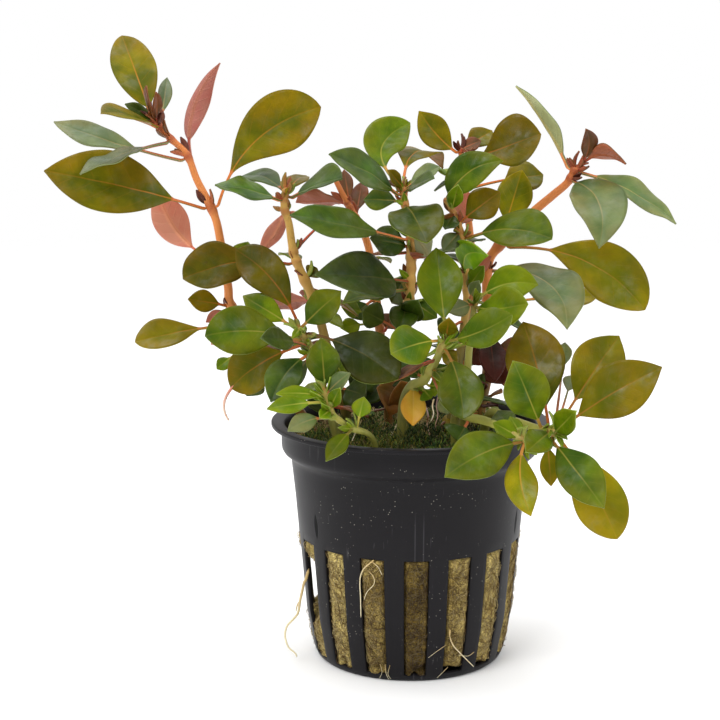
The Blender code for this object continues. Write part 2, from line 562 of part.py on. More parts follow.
def combine(target, other, operation):
    """Join another object to the target, or cut it from the target, and bake the result."""
    modifier = target.modifiers.new(operation.lower(), "BOOLEAN")
    modifier.operation = operation
    modifier.solver = "EXACT"
    modifier.object = other
    bpy.context.view_layer.update()
    solid = target.evaluated_get(bpy.context.evaluated_depsgraph_get())
    mesh = bpy.data.meshes.new_from_object(solid)
    target.modifiers.clear()
    target.data = mesh
    bpy.data.objects.remove(other)


def make_pot():
    """Make the net pot: a flanged cup with slots between ribs around its lower half."""
    profile = [(0.0, 0.0), *OUTER_WALL, (SKIRT_RADIUS, RIM_HEIGHT - LIP_THICKNESS),
               (LIP_RADIUS, RIM_HEIGHT - LIP_THICKNESS), (LIP_RADIUS, RIM_HEIGHT),
               (SKIRT_RADIUS - WALL, RIM_HEIGHT)]
    inside = [(radius - WALL, height + WALL_RISE) for radius, height in reversed(OUTER_WALL[1:])]
    profile += inside + [(OUTER_WALL[0][0] - WALL, WALL), (0.0, WALL)]
    pot = add_object("net_pot", lathe(profile, POT_SEGMENTS), "pot")
    cutter = bmesh.new()
    for slot in range(SLOT_COUNT):
        middle = -pi / 2 + SLOT_TURN + slot * 2 * pi / SLOT_COUNT
        corners = []
        for height in (SLOT_BOTTOM, SLOT_TOP):
            for radius, turn in ((SLOT_NEAR, -1), (SLOT_FAR, -1), (SLOT_FAR, 1), (SLOT_NEAR, 1)):
                angle = middle + turn * SLOT_WIDTH / 2
                place = Vector((radius * cos(angle), radius * sin(angle), height)) * MM
                corners.append(cutter.verts.new(place))
        for side in BOX_SIDES:
            cutter.faces.new([corners[corner] for corner in side])
    combine(pot, add_object("slots", cutter, "pot"), "DIFFERENCE")
    return pot


def make_wool():
    """Make the wool block inside the pot, its top a little uneven, with a socket for each stem."""
    inner = [(radius - WALL - WOOL_MARGIN, height + WALL_RISE) for radius, height in OUTER_WALL[:-1]]
    floor = WALL + GAP
    crown = [(radius, WOOL_TOP + rise) for radius, rise in WOOL_CROWN]
    profile = [(0.0, floor), (inner[0][0], floor)] + inner[1:] + crown + [(0.0, crown[-1][1])]
    shape = lathe(profile, WOOL_SEGMENTS)
    for vertex in shape.verts:
        if vertex.co.z > (WOOL_TOP - WOOL_BUMP) * MM:
            vertex.co.z += WOOL_BUMP * MM * noise.noise(vertex.co / (WOOL_BUMP_SIZE * MM))
    wool = add_object("wool", shape, "wool")
    for shoot in SHOOTS:
        route, radii = stem_route(shoot)
        buried = sum(point.z < (WOOL_TOP + WOOL_BUMP) * MM for point in route)
        way = (route[1] - route[0]).normalized()
        bored = [route[0] - way * GAP * MM] + route[1:buried + 2]
        socket = tube(bored, [radius + GAP * MM for radius in radii[:buried + 2]], STEM_SIDES)
        combine(wool, add_object("socket", socket, "wool"), "DIFFERENCE")
    return wool


def make_leaf(leaf, shoot):
    """Make a leaf as a thin solid: a grid laid on its middle surface, thickened."""
    blade = Blade(leaf, shoot)
    shape = bmesh.new()
    across, along = LEAF_GRID if leaf.own else SMALL_LEAF_GRID
    bmesh.ops.create_grid(shape, x_segments=across, y_segments=along, size=1.0)
    for vertex in shape.verts:
        vertex.co = blade.point((vertex.co.y + 1) / 2, vertex.co.x)
    made = add_object(f"{shoot.name}_{leaf.name}", shape, leaf.colour)
    solid = made.modifiers.new("thickness", "SOLIDIFY")
    solid.thickness = LEAF_THICKNESS * MM
    solid.offset = 0.0
    return made


def bake(made):
    """Put an object's modifiers into its mesh."""
    bpy.context.view_layer.update()
    solid = made.evaluated_get(bpy.context.evaluated_depsgraph_get())
    mesh = bpy.data.meshes.new_from_object(solid)
    made.modifiers.clear()
    made.data = mesh


def make_shoot(shoot):
    """Make a shoot: its stem with the small leaves that grow on it, and its large leaves."""
    stem = add_object(f"{shoot.name}_stem", tube(*stem_route(shoot), STEM_SIDES), shoot.colour)
    for leaf in shoot.leaves:
        made = make_leaf(leaf, shoot)
        if not leaf.own:
            bake(made)
            combine(stem, made, "UNION")


for old in list(bpy.data.objects):
    bpy.data.objects.remove(old)
make_pot()
make_wool()
for shoot in SHOOTS:
    make_shoot(shoot)
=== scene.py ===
# %% [markdown]
# # Ludwigia repens in its net pot
#
# Ludwigia repens is a marsh and aquarium plant. Its leaves stand in opposite pairs on soft stems,
# and turn from green to bronze and pink where they get the most light. It is sold rooted in a block
# of mineral wool, in a small black net pot. This notebook dresses the solids of one such plant: it
# models the pot, the wool, the moss, the roots and every leaf again in fine detail, in the places
# that the solids give them, and gives each a finish made of shader nodes.
#
# We start with the frame, which holds the solids. All lengths below are in millimetres until `MM`
# turns them into Blender's metres.

# %% Load the solids
import random
from collections import namedtuple
from math import cos, exp, pi, radians, sin, sqrt

import bmesh
import bpy
from mathutils import Matrix, Vector, noise
from mathutils.bvhtree import BVHTree


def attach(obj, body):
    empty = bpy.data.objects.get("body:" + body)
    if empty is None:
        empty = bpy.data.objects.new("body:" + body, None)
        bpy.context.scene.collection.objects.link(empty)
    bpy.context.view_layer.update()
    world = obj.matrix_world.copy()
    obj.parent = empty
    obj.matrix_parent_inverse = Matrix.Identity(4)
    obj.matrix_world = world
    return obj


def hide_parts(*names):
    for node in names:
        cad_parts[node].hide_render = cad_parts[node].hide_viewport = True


MM = 0.001
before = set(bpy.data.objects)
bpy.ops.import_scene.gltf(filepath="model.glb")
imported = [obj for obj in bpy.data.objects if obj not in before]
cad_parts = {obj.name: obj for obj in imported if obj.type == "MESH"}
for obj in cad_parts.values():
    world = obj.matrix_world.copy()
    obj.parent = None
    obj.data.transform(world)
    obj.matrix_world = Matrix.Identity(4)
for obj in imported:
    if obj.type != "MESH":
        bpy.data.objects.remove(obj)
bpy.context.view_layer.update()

# %% [markdown]
# ## The camera
#
# The pot's rim and base show as two ellipses in the photograph. From their shapes and the distance
# between them follow the height of the eye, its distance and the lens, so the camera needs no
# trial and error: it stands a third of a metre away and looks down by ten degrees.

# %% Camera
EYE = Vector((-9.9, -311.0, 115.0)) * MM
LOOK_DOWN = radians(10.1)
LENS = 80.0
PICTURE = 720
SENSOR = 36.0
FOCAL = LENS / SENSOR * PICTURE
MIDDLE = PICTURE / 2

camera = bpy.data.objects.new("camera", bpy.data.cameras.new("camera"))
bpy.context.scene.collection.objects.link(camera)
camera.data.lens = LENS
camera.data.sensor_width = SENSOR
camera.location = EYE
camera.rotation_euler = (pi / 2 - LOOK_DOWN, 0, 0)
bpy.context.scene.camera = camera
print("the lens is", FOCAL, "pixels long")

# %% [markdown]
# ## A short way to write shaders
#
# A finish that looks real is mostly arithmetic: where is the midrib, how far is this spot from a
# vein, how pale is the edge. Each step could be a node placed by hand. Here `Wire` wraps a node's
# output and overloads the operators, so that `1 - mask` or `rib * 0.5` adds the Math nodes by
# itself, and `Finish.node` adds any other node from its type, its settings and its inputs.

# %% Shader helpers
# A Mix node has more sockets than it shows. For colours it uses those at these places.
MIX_SHARE, MIX_FIRST, MIX_SECOND, MIX_RESULT = 0, 6, 7, 2


class Wire:
    """A node's output that can be used in plain arithmetic."""

    def __init__(self, finish, socket):
        self.finish = finish
        self.socket = socket

    def maths(self, operation, *numbers):
        """Add a Math node that works on these numbers or wires."""
        return self.finish.node("Math", {"operation": operation}, dict(enumerate(numbers)))

    def __add__(self, other):
        return self.maths("ADD", self, other)

    def __sub__(self, other):
        return self.maths("SUBTRACT", self, other)

    def __rsub__(self, other):
        return self.maths("SUBTRACT", other, self)

    def __mul__(self, other):
        return self.maths("MULTIPLY", self, other)

    def __truediv__(self, other):
        return self.maths("DIVIDE", self, other)

    def __rtruediv__(self, other):
        return self.maths("DIVIDE", other, self)

    def __abs__(self):
        return self.maths("ABSOLUTE", self)

    __radd__ = __add__
    __rmul__ = __mul__


class Nodes:
    """The nodes of a material or a world, with one method that adds any of them."""

    def __init__(self, owner):
        owner.use_nodes = True
        self.tree = owner.node_tree

    def feed(self, socket, value):
        """Link a wire to a socket, or set its value."""
        if isinstance(value, Wire):
            self.tree.links.new(value.socket, socket)
        else:
            socket.default_value = value

    def node(self, kind, settings=None, inputs=None, output=0):
        """Add a node: its settings first, then the values or wires of its sockets."""
        made = self.tree.nodes.new("ShaderNode" + kind)
        for setting, value in (settings or {}).items():
            setattr(made, setting, value)
        for socket, value in (inputs or {}).items():
            self.feed(made.inputs[socket], value)
        return Wire(self, made.outputs[output])

    def mix(self, share, first, second):
        """Mix two colours by a share from 0 to 1."""
        inputs = {MIX_SHARE: share, MIX_FIRST: first, MIX_SECOND: second}
        return self.node("Mix", {"data_type": "RGBA"}, inputs, output=MIX_RESULT)

    def step(self, value, low, high):
        """Rise smoothly from 0 to 1 while the value goes from low to high."""
        settings = {"interpolation_type": "SMOOTHSTEP"}
        return self.node("MapRange", settings, {"Value": value, "From Min": low, "From Max": high})

    def parts(self, vector):
        """Split a vector into its three numbers."""
        made = self.tree.nodes.new("ShaderNodeSeparateXYZ")
        self.feed(made.inputs[0], vector)
        return [Wire(self, socket) for socket in made.outputs]


class Finish(Nodes):
    """A material made of one Principled shader and whatever nodes feed it."""

    def __init__(self, name, **fixed):
        self.material = bpy.data.materials.new(name)
        super().__init__(self.material)
        self.shader = self.tree.nodes["Principled BSDF"]
        for socket, value in fixed.items():
            self.shader.inputs[socket.replace("_", " ")].default_value = value

    def attribute(self, name, output="Fac"):
        """Read a number that the mesh holds at its vertices, or its vector."""
        return self.node("Attribute", {"attribute_name": name}, output=output)

    def place(self):
        """Read the object's own coordinates, in metres."""
        return self.node("TexCoord", output="Object")

    def noise(self, size, detail=2.0, stretch=None, turn=(0, 0, 0)):
        """Give soft noise whose lumps are about size millimetres wide, stretched along turned axes."""
        vector = self.place()
        if stretch:
            longer = {"Vector": vector, "Rotation": turn, "Scale": stretch}
            vector = self.node("Mapping", {"vector_type": "TEXTURE"}, longer)
        inputs = {"Vector": vector, "Scale": 1 / (size * MM), "Detail": detail}
        return self.node("TexNoise", inputs=inputs, output="Fac")

    def bump(self, height, depth):
        """Raise the surface by a height from 0 to 1, depth millimetres at most."""
        inputs = {"Height": height, "Distance": depth * MM, "Strength": 1.0}
        self.feed(self.shader.inputs["Normal"], self.node("Bump", inputs=inputs))

    def colour(self, value):
        self.feed(self.shader.inputs["Base Color"], value)

    def roughness(self, value):
        self.feed(self.shader.inputs["Roughness"], value)


def paint(red, green, blue):
    """Turn a colour as a screen shows it, each part from 0 to 255, into the shader's colour."""
    return (*(((part / 255 + 0.055) / 1.055) ** 2.4 for part in (red, green, blue)), 1.0)


print("helpers ready")

# %% [markdown]
# ## The studio
#
# The plant was lit by large soft lights in a white room. The leaves that face the viewer show deep,
# clean colours, while those that face up have a grey sheen, and the black pot is dark in front and
# paler at its sides. So the room is bright above, behind and at the sides, and dim behind the
# viewer, where it would only lay a white veil over the colours. The world is a smooth gradient that
# does this, seen by the camera as plain white, and a few large area lights add direction. The
# colours are shown as they are, without a film curve.

# %% World and lights
ROOM_BRIGHT = 1.0
ROOM_DIM = 0.2
DIM_FROM, DIM_TO = -0.95, -0.1
FLOOR_FADE = 120.0
FLOOR_RADIUS = 900.0
SOFTBOXES = {
    "overhead_light": ((-0.1, 0.15, 0.8), (0.8, 0.6), 3.6),
    "key_light": ((-0.45, -0.6, 0.65), (0.5, 0.5), 5.2),
    "fill_light": ((0.6, -0.5, 0.4), (0.5, 0.5), 2.4),
}
SUBJECT = Vector((0, 0, 0.06))


def softbox(name, place, size, power):
    """Hang a rectangular light at a place in metres, aimed at the plant."""
    light = bpy.data.lights.new(name, "AREA")
    light.shape = "RECTANGLE"
    light.size, light.size_y = size
    light.energy = power
    lamp = bpy.data.objects.new(name, light)
    lamp.location = place
    lamp.rotation_euler = (SUBJECT - Vector(place)).to_track_quat("-Z", "Y").to_euler()
    bpy.context.scene.collection.objects.link(lamp)


for name, (place, size, power) in SOFTBOXES.items():
    softbox(name, place, size, power)
world = bpy.data.worlds.new("white_room")
room = Nodes(world)
backdrop = room.tree.nodes["Background"]
backdrop.inputs["Color"].default_value = (1, 1, 1, 1)
away = room.parts(room.node("TexCoord", output="Generated"))[1]
dim = 1 - room.step(away, DIM_FROM, DIM_TO)
light_level = ROOM_BRIGHT - dim * (ROOM_BRIGHT - ROOM_DIM)
seen = room.node("LightPath", output="Is Camera Ray")
room.feed(backdrop.inputs["Strength"], seen + (1 - seen) * light_level)
bpy.context.scene.world = world
bpy.context.scene.view_settings.view_transform = "Standard"
floor_finish = Finish("floor", Roughness=0.9, IOR=1.0)
from_plant = floor_finish.node("VectorMath", {"operation": "LENGTH"}, {0: floor_finish.place()}, "Value")
floor_finish.feed(floor_finish.shader.inputs["Alpha"],
                  1 - floor_finish.step(from_plant, FLOOR_FADE * MM, FLOOR_RADIUS * MM))
floor_finish.colour(floor_finish.mix(floor_finish.noise(60) * 0.1, paint(247, 247, 247),
                                     paint(243, 243, 243)))
print(len(SOFTBOXES), "softboxes")

# %% [markdown]
# ## Meshes from operators
#
# Every new piece starts as a bmesh. `make_object` turns one into a smooth shaded object, and
# `add_piece` makes it ride with the plant and says which solids it stands for. The floor is a plain
# disc that fades into the white room: it belongs to the studio, not to the plant.

# %% Mesh helpers
LATHE_MERGE = 1e-7


def make_object(name, shape, *finishes):
    """Make an object of a bmesh, smooth shaded, with its finishes in order."""
    mesh = bpy.data.meshes.new(name)
    shape.to_mesh(mesh)
    shape.free()
    mesh.shade_smooth()
    for finish in finishes:
        mesh.materials.append(finish.material)
    made = bpy.data.objects.new(name, mesh)
    bpy.context.scene.collection.objects.link(made)
    return made


def add_piece(name, shape, finishes, slot, nodes=()):
    """Make a piece of the plant that stands for the named solids."""
    made = make_object(name, shape, *finishes)
    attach(made, "root")
    if nodes:
        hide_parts(*nodes)
    return made


def lathe(profile, segments, start=0.0):
    """Turn a profile of (radius, height) in millimetres about Z, from an angle in radians."""
    shape = bmesh.new()
    points = [shape.verts.new((radius * cos(start) * MM, radius * sin(start) * MM, height * MM))
              for radius, height in profile]
    edges = [shape.edges.new(pair) for pair in zip(points, points[1:])]
    bmesh.ops.spin(shape, geom=points + edges, cent=(0, 0, 0), axis=(0, 0, 1), angle=2 * pi,
                   steps=segments, use_merge=True)
    bmesh.ops.remove_doubles(shape, verts=shape.verts, dist=LATHE_MERGE)
    bmesh.ops.recalc_face_normals(shape, faces=shape.faces)
    lowest = min(shape.faces, key=lambda face: face.calc_center_median().z)
    if lowest.normal.z > 0:
        bmesh.ops.reverse_faces(shape, faces=shape.faces)
    return shape


floor_shape = bmesh.new()
bmesh.ops.create_circle(floor_shape, cap_ends=True, segments=96, radius=FLOOR_RADIUS * MM)
make_object("floor", floor_shape, floor_finish)
print("floor", 2 * FLOOR_RADIUS * MM, "m across")

# %% [markdown]
# ## The net pot
#
# The pot is one thin injection moulding: a flat base, a wall that widens upwards, slots between
# ribs around its lower half, a skirt and a flat lip. It could be cut from a solid with Boolean
# modifiers, but a thin wall of even thickness is simpler as a sheet. We turn the sheet's profile
# around the axis, delete the faces where the slots are, and let Solidify give the wall its
# thickness and Bevel round every moulded edge.

# %% The pot's sizes
RIM_HEIGHT = 47.7
LIP_RADIUS = 27.5
LIP_THICKNESS = 0.8
SKIRT_RADIUS = 25.5
WALL = 0.9
SHEET = 0.8
OUTER_WALL = ((18.7, 0.0), (19.4, 2.3), (20.8, 10.0), (22.8, 33.0), (23.6, 40.3), (25.4, 42.0))
SLOT_COUNT = 16
SLOT_WIDTH = radians(13.0)
SLOT_TURN = radians(2.2)
SLOT_BOTTOM = 1.3
SLOT_TOP = 25.0
TURN_STEPS = 9
SLOT_STEPS = 5
EDGE_ROUNDING = 0.16
EDGE_ANGLE = radians(40)


def outer_radius(height):
    """Return the pot wall's outer radius at a height, both in millimetres."""
    for (low_radius, low), (high_radius, high) in zip(OUTER_WALL, OUTER_WALL[1:]):
        if height <= high:
            share = max((height - low) / (high - low), 0.0)
            return low_radius + (high_radius - low_radius) * share
    return SKIRT_RADIUS


def slot_offset(azimuth):
    """Return how far an angle lies from the nearest slot's middle, as a share of half its width."""
    pitch = 2 * pi / SLOT_COUNT
    turn = (azimuth + pi / 2 - SLOT_TURN) / pitch
    return (turn - round(turn)) * pitch / (SLOT_WIDTH / 2)


print("slots", round(SLOT_WIDTH * outer_radius(SLOT_TOP), 1), "mm wide at their top")

# %% [markdown]
# The black plastic is semi-gloss, with a fine grain, and it has been handled: pale specks of dust
# and dried lime cling to it in patches, and a few faint scratches run up and down. The specks are
# the centres of the cells of a Voronoi pattern, kept only where a large soft noise is high. Three
# lens-shaped notches above the slots and two fine mould lines in front come from the mould, and are
# drawn by the angle about the axis and the height. The notches are sunk by the bump and painted near
# black: painted shade inside them.

# %% Pot finish
NOTCH_COUNT = 3
NOTCH_AZIMUTH = radians(-24.5)
NOTCH_RADIUS = 22.5
NOTCH_HEIGHT = 29.3
NOTCH_LENGTH = 5.6
NOTCH_WIDTH = 1.3
MOULD_LINES = (0.4, 2.0)


def pot_finish():
    finish = Finish("pot_plastic", Metallic=0.0, IOR=1.24)
    patches = finish.step(finish.noise(9, 3), 0.5, 0.62)
    cells = finish.node("TexVoronoi", {"feature": "F1"},
                        {"Vector": finish.place(), "Scale": 1 / (0.8 * MM)}, output="Distance")
    specks = (1 - finish.step(cells, 0.06, 0.13)) * patches
    scratches = finish.noise(0.5, 2, (1, 1, 20))
    scratches = finish.step(scratches, 0.66, 0.72) * finish.step(finish.noise(6), 0.5, 0.7)
    film = finish.noise(14, 4)
    x, y, z = finish.parts(finish.place())
    turn = (y.maths("ARCTAN2", y, x) - NOTCH_AZIMUTH) * (NOTCH_COUNT / (2 * pi))
    beside = abs(turn.maths("FRACT", turn + 1.5) - 0.5) * (2 * pi / NOTCH_COUNT * NOTCH_RADIUS)
    above = abs(z - NOTCH_HEIGHT * MM) / (NOTCH_LENGTH / 2 * MM)
    notch = 1 - finish.step(beside / (NOTCH_WIDTH / 2) + above * above, 0.75, 1.0)
    lines = [1 - finish.step(abs(x - line * MM), 0.05 * MM, 0.16 * MM) for line in MOULD_LINES]
    line = (lines[0] + lines[1]) * finish.step(z, 36 * MM, 30 * MM) * finish.step(y, 0.0, -0.01)
    base = finish.mix(film, paint(15, 14, 16), paint(27, 25, 28))
    base = finish.mix(scratches * 0.3, base, paint(96, 94, 96))
    base = finish.mix(line * 0.25, base, paint(92, 90, 94))
    # near black in the notches: painted shade in their recess
    base = finish.mix(notch * 0.9, base, paint(8, 8, 9))
    finish.colour(finish.mix(specks * 0.75, base, paint(176, 172, 160)))
    finish.roughness(0.34 + film * 0.16 + specks * 0.3 + notch * 0.3)
    finish.bump(finish.noise(0.35, 2) * 0.3 + scratches * 0.2 + specks * 0.5 - notch * 3, 0.04)
    return finish


POT = pot_finish()
print("pot finish ready")

# %% The pot's sheet, its slots and its thickness
def pot_profile():
    """Return the outer line of the pot from the middle of its base to the edge of its lip."""
    line = [(0.0, 0.0), (9.0, 0.0), (17.6, 0.0), (18.3, 0.1), (18.7, 0.45)]
    heights = [SLOT_BOTTOM, 2.3, 5.0, 7.5, 10.0, 13.0, 16.0, 19.0, 22.0, SLOT_TOP, 27.0, 30.0, 33.0,
               36.0, 38.5]
    line += [(outer_radius(height), height) for height in heights]
    line += [(23.55, 39.9), (23.8, 40.7), (24.4, 41.3), (25.05, 41.8), (25.4, 42.4), (25.5, 43.2)]
    under_lip = RIM_HEIGHT - LIP_THICKNESS
    line += [(SKIRT_RADIUS, 45.0), (SKIRT_RADIUS, under_lip - 0.5), (25.62, under_lip - 0.12)]
    line += [(25.9, under_lip), (26.7, under_lip), (LIP_RADIUS, under_lip)]
    return line


def make_pot():
    start = -pi / 2 + SLOT_TURN - SLOT_WIDTH / 2
    shape = lathe(pot_profile(), SLOT_COUNT * TURN_STEPS, start)
    gone = []
    for face in shape.faces:
        middle = face.calc_center_median() / MM
        turn = (Vector((1, 0)).angle_signed(middle.xy, 0.0) * -1 - start) % (2 * pi)
        step = int(turn / (2 * pi) * SLOT_COUNT * TURN_STEPS) % TURN_STEPS
        if step < SLOT_STEPS and SLOT_BOTTOM < middle.z < SLOT_TOP:
            gone.append(face)
    bmesh.ops.delete(shape, geom=gone, context="FACES")
    pot = add_piece("pot", shape, [POT], "pot_plastic", ["net_pot"])
    wall = pot.modifiers.new("wall", "SOLIDIFY")
    wall.thickness = SHEET * MM
    wall.offset = -1.0
    wall.use_even_offset = True
    edges = pot.modifiers.new("moulded_edges", "BEVEL")
    edges.width = EDGE_ROUNDING * MM
    edges.segments = 2
    edges.limit_method = "ANGLE"
    edges.angle_limit = EDGE_ANGLE
    print("pot", len(gone) // SLOT_COUNT, "faces cut out for each slot")


make_pot()

# %% [markdown]
# ## Threads
#
# Stems, roots, wool fibres and moss are all thin round threads, from a handful to thousands. Making
# each with its own operators would take minutes. Instead one long grid holds them all, a few
# columns wide: each thread takes its share of the rows, the faces between two threads are deleted,
# the rows are rolled into rings, and merging the doubles closes their seams and tips. Every vertex
# keeps how far along its thread it is, the thread's own tint, and a mark that a finish may use.

# %% Threads
Thread = namedtuple("Thread", "points radii tint marks", defaults=(0.0, None))
THREAD_MERGE = 2e-6


def rings(points):
    """Return two directions across the route at each of its points, turning as little as can be."""
    last = len(points) - 1
    side = None
    found = []
    for index in range(len(points)):
        way = (points[min(index + 1, last)] - points[max(index - 1, 0)]).normalized()
        side = way.orthogonal() if side is None else side - way * side.dot(way)
        side.normalize()
        found.append((side.copy(), way.cross(side)))
    return found


def sweep(threads, sides, flat=1.0):
    """Make all the threads in one bmesh; flat squeezes their section in one direction."""
    rows = [(thread, index) for thread in threads for index in range(len(thread.points))]
    shape = bmesh.new()
    bmesh.ops.create_grid(shape, x_segments=sides, y_segments=len(rows) - 1, size=1.0)
    along = shape.verts.layers.float.new("along")
    tint = shape.verts.layers.float.new("tint")
    mark = shape.verts.layers.float.new("mark")
    across = [rings(thread.points) for thread in threads]
    offsets = [pair for found in across for pair in found]
    placed = [(round((vertex.co.x + 1) / 2 * sides), round((vertex.co.y + 1) / 2 * (len(rows) - 1)))
              for vertex in shape.verts]
    shape.verts.index_update()
    joints = []
    for face in shape.faces:
        row = min(placed[vertex.index][1] for vertex in face.verts)
        if rows[row][1] == len(rows[row][0].points) - 1:
            joints.append(face)
    for vertex, (column, row) in zip(shape.verts, placed):
        thread, index = rows[row]
        side, up = offsets[row]
        angle = 2 * pi * column / sides
        radius = thread.radii[index]
        vertex.co = thread.points[index] + (side * cos(angle) + up * sin(angle) * flat) * radius
        vertex[along] = index / (len(thread.points) - 1)
        vertex[tint] = thread.tint
        vertex[mark] = thread.marks[index] if thread.marks else 0.0
    bmesh.ops.delete(shape, geom=joints, context="FACES")
    bmesh.ops.remove_doubles(shape, verts=shape.verts, dist=THREAD_MERGE)
    return shape


def route_point(points, share):
    """Return the point at a share of the way along the smooth curve through the points."""
    last = len(points) - 1
    place = min(max(share, 0.0), 1.0) * last
    index = min(int(place), last - 1)
    step = place - index
    start, end = points[index], points[index + 1]
    before = points[max(index - 1, 0)]
    after = points[min(index + 2, last)]
    leaving = (end - before) / 2
    arriving = (after - start) / 2
    return (start * (2 * step**3 - 3 * step**2 + 1) + leaving * (step**3 - 2 * step**2 + step)
            + end * (3 * step**2 - 2 * step**3) + arriving * (step**3 - step**2))


def smooth_thread(points, steps, thick, thin):
    """Make a thread along the smooth curve through the points, which tapers to a closed tip."""
    shares = [step / steps for step in range(steps + 1)]
    radii = [(thick + (thin - thick) * share) * MM for share in shares]
    radii[0] = radii[-1] = 0.0
    return Thread([route_point(points, share) for share in shares], radii)


print("threads ready")

# %% [markdown]
# ## The wool
#
# The roots grow in a block of mineral wool. It is matted brown and khaki fibre that swells a little
# into each slot, and near the base it is ragged and leaves dark gaps. At the left a hollow shows
# through a slot. In front, in the middle and below the slots' tops, the fibre is darkened: painted
# shade. The block is a turned shape whose surface is pushed in and out by noise, and loose fibres lie
# on it wherever a slot lets them show.

# %% Wool surface
GAP = 0.3
WOOL_TOP = 43.8
WOOL_FLOOR = 1.2
WOOL_EDGE = 23.0
WOOL_SWELL = 1.0
WOOL_LUMP = 0.3
WOOL_LUMP_SIZE = 3.0
WOOL_TURNS = 288
WOOL_ROWS = 64
RAGGED_HEIGHT = 4.2
RAGGED_DEPTH = 3.2
HOLLOW_AZIMUTH = radians(180)
HOLLOW_WIDTH = 0.5
HOLLOW_HEIGHT = 15.2
HOLLOW_REACH = 5.8
HOLLOW_DEPTH = 4.6
# Painted shade on the front of the wool: how far it reaches to each side, and how much it darkens.
SHADE_REACH = 15.0
SHADE_DARK = 0.72
STRAND_WIDTH = 0.28
STRAND_LENGTH = 7
STRAND_TURNS = ((0.25, 0.2, 0), (0.7, -0.8, 0), (-0.6, 0.6, 0.5))


def wool_radius(azimuth, height):
    """Return how far out the wool reaches at an angle and a height, in millimetres."""
    place = Vector((cos(azimuth) * outer_radius(height), sin(azimuth) * outer_radius(height), height))
    swell = WOOL_SWELL * max(1 - slot_offset(azimuth)**6, 0.0) * (height < SLOT_TOP)
    lumps = WOOL_LUMP * noise.noise(place / WOOL_LUMP_SIZE)
    lumps += 0.25 * noise.noise(place * 1.3)
    ragged = max(1 - height / RAGGED_HEIGHT, 0.0) * RAGGED_DEPTH
    ragged *= max(0.2 + noise.noise(place / 2.2 + Vector((9, 0, 0))) * 2.2, 0.0)
    aside = abs((azimuth - HOLLOW_AZIMUTH + pi) % (2 * pi) - pi) / HOLLOW_WIDTH
    hollow = HOLLOW_DEPTH * exp(-aside**6 - ((height - HOLLOW_HEIGHT) / HOLLOW_REACH)**6)
    return outer_radius(height) - WALL - GAP + swell + lumps - ragged - hollow


def wool_height(place):
    """Return the height of the wool's top over a place, in millimetres."""
    edge = max(place.xy.length - 21.0, 0.0)
    bumps = noise.noise(Vector((place.x, place.y, 0)) / 7) * 1.0
    bumps += noise.noise(Vector((place.x, place.y, 5)) / 2) * 0.5
    return WOOL_TOP + 0.2 + bumps - edge * 0.6


def paint_front_shade(finish, colour):
    """Darken a colour with painted shade: most in the middle in front, below the slots' tops."""
    x, y, z = finish.parts(finish.place())
    beside = 1 - finish.step(abs(x), 1 * MM, SHADE_REACH * MM)
    low = finish.step(y, 0.0, -0.01) * finish.step(z, 30 * MM, 26 * MM)
    # painted shade, deepest in the middle of the front, with noise in its depth
    front_shade = beside * low * (0.75 + finish.noise(5, 2) * 0.5)
    level = {"Hue": 0.5 - front_shade * 0.014, "Saturation": 1 + front_shade * 0.12, "Value": 1 - front_shade * SHADE_DARK,
             "Color": colour}
    return finish.node("HueSaturation", inputs=level)


def wool_finish():
    """Matted fibre: fine strands that cross in three directions over soft patches of colour."""
    finish = Finish("wool", Roughness=0.95, IOR=1.2)
    broad = finish.step(finish.noise(6, 3), 0.36, 0.64)
    fine = finish.noise(0.5, 3)
    strands = [finish.step(finish.noise(STRAND_WIDTH, 2, (1, 1, STRAND_LENGTH), turn), 0.46, 0.72)
               for turn in STRAND_TURNS]
    base = finish.mix(broad * 0.5, paint(236, 214, 136), paint(160, 130, 62))
    base = finish.mix(finish.step(fine, 0.42, 0.7) * 0.5, base, paint(98, 74, 32))
    base = finish.mix(strands[0] * 0.5, base, paint(206, 186, 120))
    base = finish.mix(strands[1] * 0.55, base, paint(104, 80, 36))
    base = finish.mix(strands[2] * 0.45, base, paint(190, 168, 102))
    # with painted shade in the middle of the front
    finish.colour(paint_front_shade(finish, base))
    finish.bump(fine * 0.6 + strands[0] + strands[2] * 0.8 - strands[1] * 0.8, 0.18)
    return finish


WOOL = wool_finish()


def make_wool():
    side = WOOL_TOP - 1 - WOOL_FLOOR
    heights = [WOOL_FLOOR + side * row / WOOL_ROWS for row in range(WOOL_ROWS + 1)]
    tops = [22.4, 21.0, 19.0, 17.0, 15.0, 13.0, 11.0, 9.0, 7.0, 5.0, 3.0, 0.0]
    profile = [(0.0, WOOL_FLOOR)] + [(outer_radius(height) - WALL, height) for height in heights]
    profile += [(radius, WOOL_TOP) for radius in tops]
    shape = lathe(profile, WOOL_TURNS)
    for vertex in shape.verts:
        place = vertex.co / MM
        azimuth = Vector((1, 0)).angle_signed(place.xy, 0.0) * -1
        if place.z > WOOL_TOP - 0.5:
            vertex.co.z = wool_height(place) * MM
        elif place.xy.length > 1:
            radius = wool_radius(azimuth, place.z)
            vertex.co.xy = Vector((cos(azimuth), sin(azimuth))) * radius * MM
    made = add_piece("wool_block", shape, [WOOL], "wool", ["wool"])
    print("wool", len(made.data.polygons), "faces")


make_wool()

# %% [markdown]
# The loose fibres start on the wool, lie along it in a random direction and bend as they go. Behind
# a rib they would be hidden, so they start only in the slots, and a few lift off the surface by up
# to a millimetre. A second set lies on top of the block.

